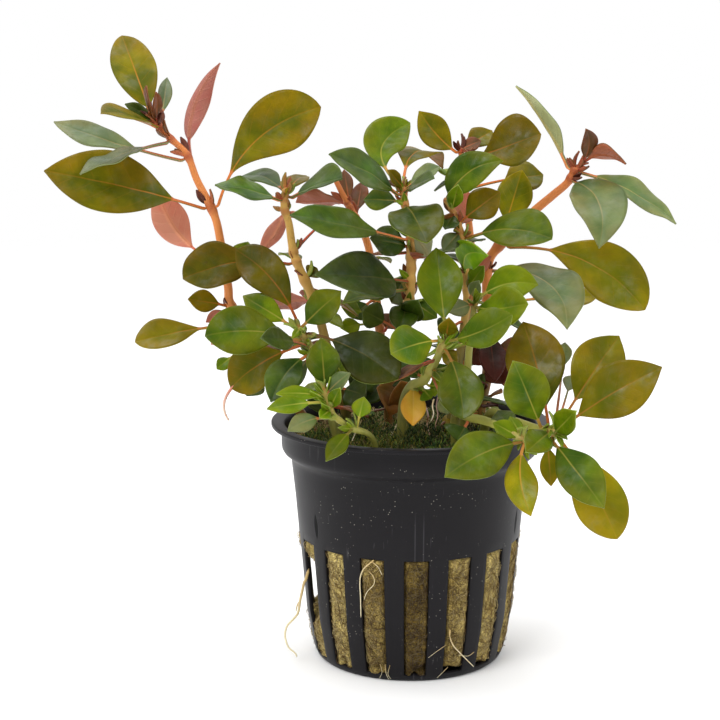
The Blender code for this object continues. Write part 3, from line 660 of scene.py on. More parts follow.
# %% Wool fibres
def fibre_finish():
    finish = Finish("wool_fibre", Roughness=0.8)
    tint = finish.attribute("tint")
    base = finish.mix(finish.step(tint, -0.4, 0.7), paint(116, 90, 42), paint(196, 178, 124))
    base = finish.mix(finish.step(tint, -0.7, -1.0), base, paint(66, 48, 22))
    base = finish.mix(finish.noise(0.8) * 0.4, base, paint(96, 74, 30))
    # with painted shade in the middle of the front, as on the wool
    finish.colour(paint_front_shade(finish, base))
    return finish


FIBRE = fibre_finish()
SLOT_FIBRES = 400
TOP_FIBRES = 2200
FIBRE_STEPS = 4
FIBRE_SIDES = 3
THINNEST_FIBRE, THICKEST_FIBRE = 0.025, 0.06


def fibre_thread(chance, points):
    """Make a thread through a fibre's points, closed at both ends, with a tint of its own."""
    thick = chance.uniform(THINNEST_FIBRE, THICKEST_FIBRE)
    radii = [0.0] + [thick * MM] * (FIBRE_STEPS - 1) + [0.0]
    return Thread(points, radii, chance.uniform(-1, 1))


def slot_fibre(chance, slot):
    """Lay one fibre on the wool in a slot."""
    middle = -pi / 2 + SLOT_TURN + slot * 2 * pi / SLOT_COUNT
    azimuth = middle + chance.uniform(-0.5, 0.5) * SLOT_WIDTH * 0.95
    height = chance.uniform(SLOT_BOTTOM + 0.8, SLOT_TOP - 0.3)
    heading = chance.uniform(-pi, pi)
    bend = chance.gauss(0, 0.45)
    length = chance.uniform(1.6, 5.0)
    rise = chance.choice((0.05, 0.1, 0.2, 0.5))
    points = []
    for step in range(FIBRE_STEPS + 1):
        share = step / FIBRE_STEPS
        radius = wool_radius(azimuth, height) + 0.06 + rise * sin(pi * share)
        if abs(slot_offset(azimuth)) > 0.95:
            radius = min(radius, outer_radius(height) - WALL - 0.1)
        points.append(Vector((cos(azimuth) * radius, sin(azimuth) * radius, height)) * MM)
        heading += bend
        azimuth += cos(heading) * length / FIBRE_STEPS / radius
        height = max(height + sin(heading) * length / FIBRE_STEPS, SLOT_BOTTOM + 0.2)
    return fibre_thread(chance, points)


def top_fibre(chance):
    """Lay one curling fibre on top of the wool."""
    radius = WOOL_EDGE * sqrt(chance.random())
    azimuth = chance.uniform(-pi, pi)
    place = Vector((cos(azimuth) * radius, sin(azimuth) * radius, 0))
    heading = chance.uniform(-pi, pi)
    bend = chance.gauss(0, 0.5)
    length = chance.uniform(2.0, 6.0)
    points = []
    for step in range(FIBRE_STEPS + 1):
        lift = 0.15 + chance.uniform(0.2, 2.2) * sin(pi * step / FIBRE_STEPS)
        points.append(Vector((place.x, place.y, wool_height(place) + lift)) * MM)
        heading += bend
        place += Vector((cos(heading), sin(heading), 0)) * length / FIBRE_STEPS
        place.xy *= min(1.0, WOOL_EDGE / max(place.xy.length, 1.0))
    return fibre_thread(chance, points)


chance = random.Random(11)
fibres = [slot_fibre(chance, slot) for slot in range(SLOT_COUNT) for _ in range(SLOT_FIBRES)]
add_piece("wool_fibres_in_slots", sweep(fibres, FIBRE_SIDES), [FIBRE], "wool")
fibres = [top_fibre(chance) for _ in range(TOP_FIBRES)]
add_piece("wool_fibres_on_top", sweep(fibres, FIBRE_SIDES), [FIBRE], "wool")
print(SLOT_FIBRES * SLOT_COUNT + TOP_FIBRES, "fibres")

# %% [markdown]
# ## The shoots
#
# Each shoot is a stem with its leaves. The table below says where each stem runs and where each
# leaf springs from and ends, as the photograph shows them, with a depth towards or away from the
# viewer. Each leaf also has a kind of colour, a width, the share of it that is stalk, and the way
# that its upper side faces; where it needs them, it says how far it arches, sweeps to one side and
# folds, and how far out its belly lies. A `small` leaf is one piece with its stem.

# %% The table of shoots
Shoot = namedtuple("Shoot", "name colour foot radii places leaves")
Leaf = namedtuple(
    "Leaf", "name colour node tip depth width stalk faces arch sweep fold belly own",
    defaults=(0.15, (0.0, -0.8, 0.6), 0.04, 0.0, 0.15, 0.9, True))


def small(colour, *form):
    """Describe a small leaf that is one piece with its stem."""
    return Leaf("young_leaf", colour, *form, own=False)


SHOOTS = (
    Shoot("left_tall", "orange", (-15, 4), (1.0, 0.55), (
        (300, 412, 4), (270, 372, 4), (243, 330, 2), (230, 303, 1), (228, 286, 0), (221, 244, -1),
        (214, 214, -1), (197, 180, 0), (187, 155, 0), (169, 137, 0), (152, 118, 0)), (
        Leaf("leaf_top", "olive", (152, 118), (122, 36), 12, 8.6, 0.06, (0.1, -0.92, 0.3), belly=0.65),
        Leaf("leaf_low", "olive", (159, 125), (101, 113), -15, 8.6, 0.12, (0, -0.6, 0.8)),
        Leaf("leaf_long", "pale", (188, 157), (54, 122), 2, 6.4, 0.33, (0, -0.6, 0.8), 0.04, -0.07),
        Leaf("leaf_front", "pale", (171, 139), (80, 174), -13, 5.6, 0.25, (-0.2, -0.5, 0.8), 0.04),
        Leaf("leaf_pink", "pink", (189, 156), (220, 63), 6, 4.6, 0.16, (0.5, 0.75, 0.3), 0.05, 0.18, 0.5,
             belly=0.6),
        Leaf("leaf_olive", "olive", (211, 206), (44, 171), -8, 12.4, 0.2, (0, -0.88, 0.45), 0.05),
        Leaf("leaf_behind", "pink", (223, 262), (157, 188), 5, 7.0, 0.28, (-0.3, 0.85, 0.3), 0.0, 0.12,
             0.3),
        Leaf("leaf_large", "olive", (214, 208), (321, 107), -3, 11.6, 0.2, (0.1, -0.95, 0.2), 0.04, -0.14,
             belly=1.2),
        Leaf("leaf_yellow", "golden", (241, 336), (135, 342), -4, 7.6, 0.3, (0, -0.7, 0.7), 0.03,
             belly=1.1),
        small("pale", (160, 127), (167, 78), 10, 2.8, 0.25, (0.2, -0.95, 0.1)),
        small("dark", (156, 121), (125, 104), -3, 2.8, 0.1),
        small("brown", (157, 122), (146, 86), -6, 2.8, 0.1, (-0.6, -0.6, 0.2)),
        small("brown", (156, 121), (156, 92), -5, 2.6, 0.1, (0.6, -0.7, 0.1)),
        small("olive", (229, 308), (188, 299), -3, 4.6, 0.3, (0, -0.9, 0.4)),
        small("brown", (233, 313), (206, 322), 4, 3.4, 0.1, (0, 0.8, 0.5)),
    )),
    Shoot("left", "yellow", (-11, 3), (1.0, 0.6), (
        (345, 410, 3), (328, 350, 0), (315, 303, -3), (300, 270, -4), (293, 250, -4), (289, 224, -4),
        (284, 206, -4), (286, 190, -4)), (
        Leaf("leaf_left", "dark", (285, 200), (215, 185), -9, 8.2, 0.1, (0, -0.45, 0.9), 0.08, -0.1),
        Leaf("leaf_back", "dark", (286, 192), (243, 176), 9, 6.0, 0.1, (0, -0.4, 0.9), 0.08, own=False),
        Leaf("leaf_right", "dark", (286, 196), (342, 179), -8, 9.0, 0.1, (0, -0.45, 0.9), 0.0, -0.12, 0.3),
        Leaf("leaf_olive", "olive", (292, 263), (183, 279), -11, 10.0, 0.27, (0, -0.75, 0.66), 0.05, 0.065),
        Leaf("leaf_hanging", "pink", (285, 210), (259, 254), 4, 3.6, 0.1, (-0.3, 0.8, 0.3), 0.05, 0.08,
             own=False),
        small("brown", (294, 252), (338, 210), 3, 7.0, 0.5, (0, -0.5, 0.8)),
        small("olive", (286, 191), (306, 176), 6, 4.0, 0.1, (0, -0.5, 0.8)),
        small("pink", (287, 212), (297, 218), -2, 3.0, 0.1, (0.4, 0.8, 0.3)),
        small("olive", (304, 281), (317, 268), -3, 3.4, 0.3),
        small("pink", (312, 300), (264, 309), 4, 5.6, 0.1, (0, 0.7, 0.6)),
    )),
    Shoot("left_centre", "orange", (-4, 9), (0.9, 0.5), (
        (388, 405, 9), (380, 330, 8), (372, 265, 7), (364, 234, 6), (350, 208, 4), (343, 195, 4),
        (336, 181, 4)), (
        small("brown", (345, 204), (296, 202), 11, 7.0, 0.08, (0, 0.6, 0.8)),
        small("brown", (350, 208), (344, 170), 9, 2.8, 0.2, (0, -0.9, 0.4)),
        small("brown", (356, 218), (362, 182), 10, 3.6, 0.2, (0, -0.9, 0.4)),
        small("bright", (378, 318), (342, 307), 0, 3.6, 0.55, (0, -0.9, 0.4)),
        small("bright", (379, 328), (341, 328), 0, 3.6, 0.55, (0, -0.9, 0.4)),
    )),
    Shoot("centre", "yellow", (1, 0), (1.0, 0.6), (
        (404, 405, 0), (406, 340, -1), (409, 300, -2), (411, 270, -3), (411, 240, -4), (409, 222, -5),
        (405, 205, -6), (403, 188, -6)), (
        Leaf("leaf_dark_long", "dark", (409, 238), (290, 215), -18, 7.5, 0.27, (0, -0.75, 0.66), 0.05,
             -0.03),
        Leaf("leaf_upper_left", "dark", (402, 194), (329, 154), -14, 9.0, 0.1, (-0.1, -0.6, 0.8),
             belly=0.75),
        Leaf("leaf_back_left", "green", (402, 188), (410, 123), 4, 8.5, 0.2, (0, -0.95, 0.3), 0.0, -0.3),
        Leaf("leaf_back_right", "olive", (403, 188), (443, 168), 12, 8.0, 0.15, (-0.2, -0.6, 0.75), 0.22,
             -0.1),
        Leaf("leaf_facing", "green", (405, 205), (427, 243), -22, 10.2, 0.1, (-0.1, -0.75, 0.65), 0.1,
             belly=0.7),
        Leaf("leaf_dark_low", "dark", (411, 280), (315, 275), -22, 10.6, 0.18, (0, -0.85, 0.55), 0.05,
             -0.02, belly=0.5),
        small("green", (404, 202), (364, 200), -3, 5.0, 0.2, (0, -0.75, 0.6)),
        small("pale", (403, 190), (440, 167), -8, 5.0, 0.2, (0, -0.55, 0.8)),
        small("dark", (403, 193), (434, 178), -16, 5.0, 0.2, (0, -0.75, 0.6)),
        small("olive", (403, 190), (388, 170), -10, 2.8, 0.1),
        small("dark", (411, 248), (370, 238), -8, 6.4, 0.15, (0, -0.85, 0.4)),
        small("green", (411, 290), (343, 303), -12, 6.4, 0.25, (0, -0.35, 0.9)),
        small("brown", (410, 258), (427, 256), -8, 4.6, 0.1, (0, 0.5, 0.8)),
        small("pale", (409, 227), (429, 256), -9, 4.4, 0.2, (0, 0.8, 0.5)),
        small("dark", (411, 268), (392, 303), 6, 5.0, 0.2, (0, -0.9, 0.4)),
        small("dark", (408, 303), (398, 331), -12, 5.6, 0.1, (0, -0.95, 0.3)),
        small("green", (409, 300), (437, 318), -5, 4.6, 0.1, (0, -0.9, 0.4)),
    )),
    Shoot("centre_right", "yellow", (7, -2), (0.9, 0.5), (
        (452, 410, -2), (462, 340, 0), (467, 300, 0), (466, 275, 0), (463, 250, -1), (459, 228, -2),
        (453, 212, -3), (446, 200, -3)), (
        Leaf("leaf_top", "green", (446, 200), (503, 161), -6, 7.4, 0.0, (-0.1, -0.85, 0.5), 0.05, -0.12,
             belly=0.6),
        Leaf("leaf_right", "green", (464, 238), (552, 239), -12, 9.6, 0.16, (0, -0.8, 0.6), 0.05, -0.08,
             belly=0.8),
        Leaf("leaf_bright", "bright", (466, 277), (488, 256), -10, 6.4, 0.1, (0, -0.95, 0.3), 0.05, -0.25,
             own=False),
        small("olive", (458, 224), (500, 192), -3, 6.6, 0.2, (0, -0.9, 0.4)),
        small("bright", (452, 210), (458, 185), -8, 3.2, 0.1, (0, -0.9, 0.4)),
        small("dark", (454, 214), (445, 229), -7, 4.0, 0.1, (0, -0.9, 0.4)),
        small("pale", (460, 232), (443, 251), -7, 3.6, 0.1, (0, -0.9, 0.4)),
        small("brown", (461, 230), (470, 193), 6, 5.4, 0.2, (0, 0.9, 0.3)),
        small("bright", (467, 290), (484, 266), -5, 3.4, 0.2, (0, -0.9, 0.4)),
        small("brown", (467, 280), (491, 256), 3, 3.4, 0.2, (0, 0.9, 0.4)),
    )),
    Shoot("back_right", "orange", (8, 11), (0.9, 0.5), (
        (458, 405, 11), (470, 330, 11), (472, 260, 10), (466, 200, 8), (462, 168, 8), (461, 150, 8)), (
        Leaf("leaf_left", "olive", (461, 152), (419, 111), 4, 6.0, 0.1, (-0.1, -0.9, 0.4), 0.05, -0.06),
        Leaf("leaf_large", "olive", (462, 160), (541, 134), 0, 11.0, 0.22, (0, -0.9, 0.45), 0.05, 0.03, 0.3,
             belly=1.1),
        Leaf("leaf_behind", "olive", (465, 190), (543, 175), 14, 8.0, 0.5, (0, -0.7, 0.7), own=False),
        small("brown", (461, 150), (481, 141), 8, 3.4, 0.1, (0, -0.7, 0.7)),
        small("olive", (461, 152), (492, 131), 14, 5.0, 0.2, (0, -0.8, 0.6)),
    )),
    Shoot("right_tall", "orange", (14, 3), (1.1, 0.7), (
        (480, 412, 3), (487, 375, 3), (489, 330, 4), (487, 290, 5), (488, 264, 6), (498, 247, 6),
        (531, 214, 5), (552, 196, 4), (568, 182, 3), (576, 167, 2)), (
        Leaf("leaf_narrow", "pale", (574, 171), (516, 86), 4, 4.6, 0.15, (0.75, 0.4, 0.5), 0.06, 0.02, 0.4,
             belly=0.6),
        Leaf("leaf_red", "brown", (575, 169), (626, 164), -2, 7.0, 0.25, (0.1, 0.45, 0.9), 0.25, own=False),
        Leaf("leaf_hanging", "pale", (571, 178), (599, 248), -14, 10.6, 0.04, (0, -0.96, 0.3), 0.1, -0.13,
             belly=0.6),
        Leaf("leaf_right", "pale", (575, 170), (676, 224), 2, 6.9, 0.12, (0.1, -0.6, 0.8), 0.08,
             belly=0.75),
        Leaf("leaf_golden", "golden", (503, 243), (645, 310), 2, 12.4, 0.25, (0, -0.85, 0.5), 0.05, -0.12),
        Leaf("leaf_grey", "pale", (487, 270), (567, 329), -16, 10.8, 0.05, (0.15, -0.75, 0.65), 0.06, -0.18,
             belly=0.8),
        Leaf("leaf_upright", "olive", (499, 246), (522, 170), 8, 7.2, 0.3, (0, -0.95, 0.3), 0.02,
             own=False),
        Leaf("leaf_old", "maroon", (489, 335), (495, 382), -6, 5.4, 0.1, (0, -0.9, 0.4), own=False),
        small("brown", (574, 171), (586, 129), -3, 3.6, 0.3, (0.3, -0.8, 0.4), 0.04, 0.15),
        small("golden", (488, 305), (597, 297), 12, 7.0, 0.4, (0, -0.7, 0.6)),
    )),
    Shoot("right_small", "green", (9, -7), (0.8, 0.5), (
        (465, 410, -8), (469, 350, -11), (473, 318, -12), (475, 302, -12)), (
        Leaf("leaf_up", "bright", (475, 302), (538, 285), -14, 6.8, 0.2, (0, -0.9, 0.4), 0.1, -0.12,
             own=False),
        Leaf("leaf_down", "bright", (475, 307), (528, 304), -22, 8.0, 0.1, (0, -0.92, 0.35), 0.05, 0.06,
             own=False),
        small("pale", (475, 304), (448, 312), -16, 3.6, 0.2, (0, -0.9, 0.4)),
    )),
    Shoot("front_centre", "green", (-2, -14), (0.95, 0.6), (
        (404, 401, -15), (424, 379, -18), (434, 364, -20), (441, 350, -21), (446, 337, -21)), (
        Leaf("leaf_up", "bright", (446, 337), (436, 248), -15, 8.5, 0.12, (0, -0.95, 0.3), 0.03),
        Leaf("leaf_right", "bright", (446, 339), (512, 315), -27, 7.2, 0.1, (0, -0.88, 0.45), 0.05, 0.06),
        Leaf("leaf_left", "green", (444, 342), (391, 354), -29, 7.8, 0.15, (0, -0.88, 0.45), 0.05, 0.03),
        Leaf("leaf_down", "green", (443, 348), (463, 419), -31, 8.4, 0.18, (0, -0.95, 0.35), 0.08, -0.05),
        Leaf("leaf_old", "yellow", (410, 396), (413, 426), -20, 4.8, 0.05, (0, -0.95, 0.3), own=False),
        small("olive", (446, 337), (449, 318), -27, 3.6, 0.1, (0, -0.9, 0.4)),
        small("olive", (441, 350), (457, 364), -22, 3.2, 0.1, (0, -0.9, 0.4)),
        small("dark", (424, 379), (396, 362), -20, 3.4, 0.2, (0, -0.8, 0.6)),
        small("pale", (430, 371), (448, 414), -21, 3.0, 0.6, (0, -0.9, 0.4)),
    )),
    Shoot("front_left", "green", (-12, -12), (0.95, 0.6), (
        (332, 418, -13), (318, 375, -14), (310, 350, -15), (305, 339, -16), (300, 329, -16)), (
        Leaf("leaf_up_left", "olive", (300, 329), (236, 250), -11, 7.8, 0.16, (-0.1, -0.88, 0.45), 0.05,
             0.08),
        Leaf("leaf_left", "green", (304, 337), (205, 336), -25, 9.2, 0.17, (0, -0.92, 0.4), 0.05, 0.06),
        Leaf("leaf_low_left", "olive", (307, 343), (231, 388), -13, 9.0, 0.2, (0, -0.9, 0.4), 0.05, 0.05),
        Leaf("leaf_down", "dark", (311, 352), (271, 402), -27, 6.6, 0.1, (-0.1, -0.95, 0.25), 0.05, 0.06),
        Leaf("leaf_right_up", "green", (300, 329), (341, 291), -20, 6.2, 0.06, (0, -0.92, 0.35), 0.05),
        Leaf("leaf_right_down", "green", (304, 335), (398, 379), -26, 10.0, 0.25, (0, -0.92, 0.4), 0.05,
             -0.05),
        small("pale", (312, 355), (280, 394), -21, 3.8, 0.15, (0, -0.95, 0.3)),
        small("green", (302, 333), (243, 296), -14, 5.0, 0.3, (0, -0.9, 0.4)),
        small("dark", (309, 347), (261, 338), -33, 4.6, 0.4, (0, -0.9, 0.4)),
    )),
    Shoot("front_sprout", "green", (-7, -19), (0.55, 0.4), (
        (374, 441, -22), (352, 428, -24), (339, 420, -25), (331, 411, -26), (327, 400, -26),
        (325, 389, -26)), (
        Leaf("leaf_up", "green", (325, 390), (321, 338), -25, 6.2, 0.08, (0, -0.96, 0.25), 0.03, own=False),
        Leaf("leaf_low_left", "pale", (339, 420), (288, 431), -33, 3.6, 0.42, (0, -0.9, 0.4), 0.05, 0.08,
             own=False),
        Leaf("leaf_over_rim", "bright", (353, 429), (326, 461), -32, 3.6, 0.25, (-0.1, -0.95, 0.3), 0.1,
             0.0, own=False),
        small("pale", (326, 394), (350, 373), -28, 3.4, 0.1, (0, -0.8, 0.6)),
        small("bright", (326, 396), (276, 394), -28, 3.4, 0.1, (0, -0.6, 0.8)),
        small("bright", (328, 402), (267, 409), -32, 3.4, 0.3, (0, -0.8, 0.6)),
        small("bright", (330, 409), (340, 388), -30, 2.6, 0.1, (0, -0.9, 0.4)),
        small("bright", (331, 410), (320, 418), -30, 2.4, 0.1, (0, -0.9, 0.4)),
        small("bright", (361, 433), (364, 397), -26, 3.6, 0.4, (0, -0.9, 0.4)),
    )),
    Shoot("lower_right", "green", (9, -16), (0.9, 0.6), (
        (455, 419, -18), (470, 418, -20), (486, 421, -24), (500, 427, -28), (513, 434, -30),
        (525, 441, -31)), (
        Leaf("leaf_left", "green", (523, 440), (445, 477), -42, 8.6, 0.08, (0, -0.9, 0.4), 0.05, 0.05),
        Leaf("leaf_down", "golden", (525, 441), (531, 516), -40, 5.9, 0.1, (0, -0.98, 0.15), 0.05, 0.09),
        small("bright", (521, 439), (493, 423), -30, 3.4, 0.1, (0, -0.8, 0.6)),
        small("bright", (523, 440), (510, 417), -27, 2.6, 0.1, (0, -0.8, 0.6)),
        small("dark", (513, 434), (498, 411), -23, 4.4, 0.1, (0, -0.9, 0.4)),
    )),
    Shoot("far_right", "green", (13, -9), (0.9, 0.6), (
        (488, 416, -12), (510, 420, -18), (532, 427, -24), (545, 431, -27), (555, 433, -29)), (
        Leaf("leaf_up_left", "green", (543, 430), (513, 361), -33, 8.6, 0.08, (0, -0.94, 0.3), 0.03),
        Leaf("leaf_olive", "olive", (548, 432), (523, 322), -20, 10.8, 0.16, (0, -0.95, 0.3), 0.04, 0.02),
        Leaf("leaf_upper_right", "golden", (555, 433), (619, 336), -24, 9.6, 0.28, (-0.1, -0.92, 0.35),
             0.04, -0.01),
        Leaf("leaf_right", "golden", (555, 433), (662, 367), -36, 9.6, 0.2, (0, -0.9, 0.4), 0.05, -0.02),
        Leaf("leaf_low_green", "green", (554, 433), (604, 508), -43, 7.6, 0.12, (0, -0.94, 0.3), 0.04),
        Leaf("leaf_low_golden", "golden", (555, 433), (617, 539), -34, 9.4, 0.15, (0, -0.96, 0.25), 0.04,
             -0.03),
        small("bright", (555, 433), (576, 411), -38, 4.6, 0.1, (0, -0.9, 0.4)),
        small("green", (550, 433), (526, 452), -40, 5.2, 0.1, (0, -0.9, 0.4)),
        small("golden", (546, 432), (551, 486), -31, 3.6, 0.3, (0, -0.9, 0.3)),
        small("pale", (554, 433), (565, 343), -12, 3.0, 0.7, (0, -0.9, 0.4)),
        small("pale", (555, 433), (572, 376), -16, 3.0, 0.7, (0, -0.9, 0.4)),
    )),
)
print(len(SHOOTS), "shoots with", sum(len(shoot.leaves) for shoot in SHOOTS), "leaves")

# %% [markdown]
# ## Where a stem and a leaf run
#
# `sight` turns a place in the picture and a depth into a point in space, so stems and leaves land
# where the camera sees them in the photograph. A stem bends softly, so it follows a smooth curve
# through its points. A leaf could be shaped by hand, vertex by vertex, but a few numbers are easier
# to set against the photograph: from them `Blade` works out where the midrib runs and how wide the
# leaf is anywhere along it. Most leaves end in a point, and the ones in `ROUND_TIPS` are blunt.

# %% Where a stem and a leaf run
SOCKET_DEPTH = 6.0
STEM_TAPER = 1.5
CROWN_SHARE = 0.99
LOWEST_LEAF_SHARE = 0.3
PLACE_STEPS = 400
LEAF_THICKNESS = 0.45
STALK_HALF_WIDTH = 0.28
TIP_HALF_WIDTH = 0.1
TIP_FALL = 1.0
ROUND_TIP_FALL = 0.76
BASE_TAPER = 1.25
ROUND_TIPS = {
    "left_tall": ("leaf_top", "leaf_large", "leaf_yellow"), "left": ("leaf_olive",),
    "centre": ("leaf_back_left", "leaf_facing"), "centre_right": ("leaf_right",),
    "back_right": ("leaf_large",), "right_tall": ("leaf_golden",), "right_small": ("leaf_down",),
    "front_centre": ("leaf_left", "leaf_down", "leaf_right"),
    "front_left": ("leaf_right_down", "leaf_left", "leaf_low_left", "leaf_up_left"),
    "far_right": ("leaf_low_golden",),
}
FOLD_CURVE = 1.5


def sight(column, row, depth):
    """Return the point that the photograph shows there, depth millimetres behind the pot's axis."""
    ray = Vector((column - MIDDLE, FOCAL, MIDDLE - row))
    ray.rotate(Matrix.Rotation(-LOOK_DOWN, 3, "X"))
    return EYE + ray * ((depth * MM - EYE.y) / ray.y)


def picture_place(point):
    """Return the column and row where the photograph shows a point."""
    ray = point - EYE
    ray.rotate(Matrix.Rotation(LOOK_DOWN, 3, "X"))
    return Vector((MIDDLE + FOCAL * ray.x / ray.y, MIDDLE - FOCAL * ray.z / ray.y))


def stem_points(shoot):
    """Return the points that a shoot's stem runs through, from its foot in the wool to its crown."""
    foot = Vector((shoot.foot[0], shoot.foot[1], WOOL_TOP - SOCKET_DEPTH)) * MM
    return [foot] + [sight(*place) for place in shoot.places]


def stem_radius(shoot, share):
    """Return the stem's radius in metres at a share of its route."""
    foot_radius, crown_radius = shoot.radii
    return (foot_radius + (crown_radius - foot_radius) * share**STEM_TAPER) * MM


def nearest_share(shoot, place, lowest_share=LOWEST_LEAF_SHARE):
    """Return the share of the stem's route that the photograph shows nearest to a place."""
    points = stem_points(shoot)
    goal = Vector(place)
    lowest = round(lowest_share * PLACE_STEPS)
    return min((step / PLACE_STEPS for step in range(lowest, PLACE_STEPS + 1)),
               key=lambda share: (picture_place(route_point(points, share)) - goal).length)


class Blade:
    """The middle surface of one leaf, from its stalk's foot to its tip."""

    def __init__(self, leaf, shoot, share=None):
        self.leaf = leaf
        self.shoot_name = shoot.name
        blunt = leaf.name in ROUND_TIPS.get(shoot.name, ())
        self.tip_fall = ROUND_TIP_FALL if blunt else TIP_FALL
        points = stem_points(shoot)
        self.share = share or nearest_share(shoot, leaf.node)
        centre = route_point(points, self.share)
        nudge = 1 / PLACE_STEPS
        ahead = route_point(points, self.share + nudge) - route_point(points, self.share - nudge)
        ahead.normalize()
        tip = sight(*leaf.tip, leaf.depth)
        self.aim(centre, tip)
        out = self.heading(0.0)
        along = out.dot(ahead)
        if self.share < CROWN_SHARE or along < 0:
            out = (out - ahead * along).normalized()
        reach = stem_radius(shoot, self.share) + (GAP + LEAF_THICKNESS) * MM if leaf.own else 0.0
        self.aim(centre + out * reach, tip)
        self.root = centre

    def aim(self, start, tip):
        """Lay the leaf from its start to its tip, with its upper side the way that it faces."""
        self.start = start
        self.chord = tip - start
        along = self.chord.normalized()
        faces = Vector(self.leaf.faces)
        self.up = (faces - along * faces.dot(along)).normalized()
        self.side = along.cross(self.up)

    def heading(self, along):
        """Return the way the midrib runs at a share of its length."""
        length = self.chord.length
        bend = (self.up * self.leaf.arch + self.side * self.leaf.sweep) * length
        return (self.chord + bend * 4 * (1 - 2 * along)).normalized()

    def half_width(self, along):
        """Return half the leaf's width in metres at a share of its length."""
        leaf = self.leaf
        share = min(max((along - leaf.stalk) / (1 - leaf.stalk), 0.0), 1.0)
        rise, fall = leaf.belly * BASE_TAPER, self.tip_fall
        peak = rise / (rise + fall)
        swell = share**rise * (1 - share)**fall / (peak**rise * (1 - peak)**fall)
        stalk = STALK_HALF_WIDTH + (TIP_HALF_WIDTH - STALK_HALF_WIDTH) * along
        return sqrt((leaf.width / 2 * swell)**2 + stalk**2) * MM

    def middle(self, along):
        """Return the midrib's point at a share of its length; below 0 it runs on into the stem."""
        if along < 0:
            share = min(-along * self.chord.length / max((self.root - self.start).length, 1e-6), 1.0)
            return self.start.lerp(self.root, share)
        bend = (self.up * self.leaf.arch + self.side * self.leaf.sweep) * self.chord.length
        return self.start + self.chord * along + bend * (4 * along * (1 - along))


print("the tallest leaf tip is", round(sight(122, 36, 12).z / MM, 1), "mm up")

# %% [markdown]
# ## Leaf finishes
#
# A leaf's upper side is waxy. Its colour drifts from the midrib to the margin and from leaf to leaf,
# the midrib is a yellow to orange line, the side veins are faint and pale, and a few brown spots
# show. A thin coat in soft patches gives the grey sheen, and each leaf is a little lighter or darker
# than others of its kind, partly by its own tone and partly by painted light and shade. The grey
# green of the pale kind is partly painted sheen, and the yellow kind is painted lighter than its
# dead leaf's own yellow: painted light on a leaf that lies in shade. The underside is duller, pinker
# on the bronze leaves, and the edge is a thin pale line. Each kind has a finish for each of the
# three, which reads what the mesh keeps at each vertex: the place across and along the leaf, the
# half width, the vein number and the tint.

# %% Leaf finishes
Tones = namedtuple("Tones", "gloss sheen main shade flush rib stalk under edge")
KINDS = {
    "green": (0.36, 1.17, (92, 112, 10), (52, 78, 5), (116, 108, 8), (150, 140, 56), (172, 128, 62),
              (124, 132, 70), (124, 138, 58)),
    "bright": (0.36, 1.16, (108, 130, 10), (72, 100, 6), (128, 128, 12), (160, 158, 62), (160, 148, 66),
               (138, 150, 76), (140, 154, 68)),
    "dark": (0.32, 1.27, (56, 78, 12), (28, 48, 6), (76, 80, 10), (92, 94, 44), (168, 92, 56),
             (108, 116, 70), (88, 104, 52)),
    "olive": (0.34, 1.16, (108, 98, 4), (70, 74, 3), (128, 92, 6), (168, 104, 36), (180, 98, 50),
              (150, 110, 70), (122, 112, 40)),
    "golden": (0.36, 1.16, (138, 130, 12), (100, 104, 6), (146, 112, 14), (184, 128, 50), (186, 126, 60),
               (164, 130, 78), (150, 132, 56)),
    "brown": (0.38, 1.3, (104, 64, 16), (66, 48, 12), (132, 54, 26), (168, 86, 48), (170, 68, 42),
              (158, 88, 62), (126, 76, 38)),
    "tan": (0.45, 1.25, (128, 92, 34), (96, 72, 24), (164, 88, 36), (150, 98, 48), (150, 84, 44),
            (140, 96, 52), (140, 92, 44)),
    # the yellow kind is painted lighter than the dead leaf's own yellow: painted light on a leaf in shade
    "yellow": (0.45, 1.25, (208, 172, 58), (196, 148, 42), (198, 122, 40), (214, 176, 84), (176, 120, 60),
               (190, 148, 72), (196, 152, 70)),
    "maroon": (0.45, 1.25, (76, 30, 14), (40, 20, 8), (98, 36, 22), (104, 52, 28), (96, 44, 26),
               (96, 50, 34), (84, 44, 24)),
    "pink": (0.45, 1.25, (202, 124, 106), (180, 92, 80), (178, 76, 60), (196, 126, 90), (180, 88, 62),
             (182, 116, 94), (190, 132, 104)),
    # the pale kind's grey green is partly painted sheen
    "pale": (0.33, 1.36, (98, 112, 60), (66, 86, 38), (120, 106, 54), (146, 128, 76), (180, 108, 66),
             (146, 146, 108), (134, 142, 96)),
}
COAT_SHARE = 0.4
TINT_SHARE = 0.34


def tinted(finish, colour):
    """Make a colour lighter or darker by the leaf's tint: its own tone, and for some leaves painted light
    and shade.
    """
    tint = finish.attribute("tint")
    level = {"Hue": 0.5 + tint * 0.005, "Value": 1 + tint * TINT_SHARE, "Color": colour}
    return finish.node("HueSaturation", inputs=level)


def read_blade(finish):
    """Read where a spot lies: across, along, off the midrib, off a vein, and whether on the stalk."""
    across, along, half = finish.parts(finish.attribute("place", "Vector"))
    across = abs(across)
    vein = finish.attribute("vein")
    off_vein = abs(vein.maths("FRACT", vein + 0.5) - 0.5)
    slim = finish.step(0.55 - half, 0.0, 0.25) * (1 - finish.step(along, 0.4, 0.6))
    return across, along, across * half, off_vein, slim


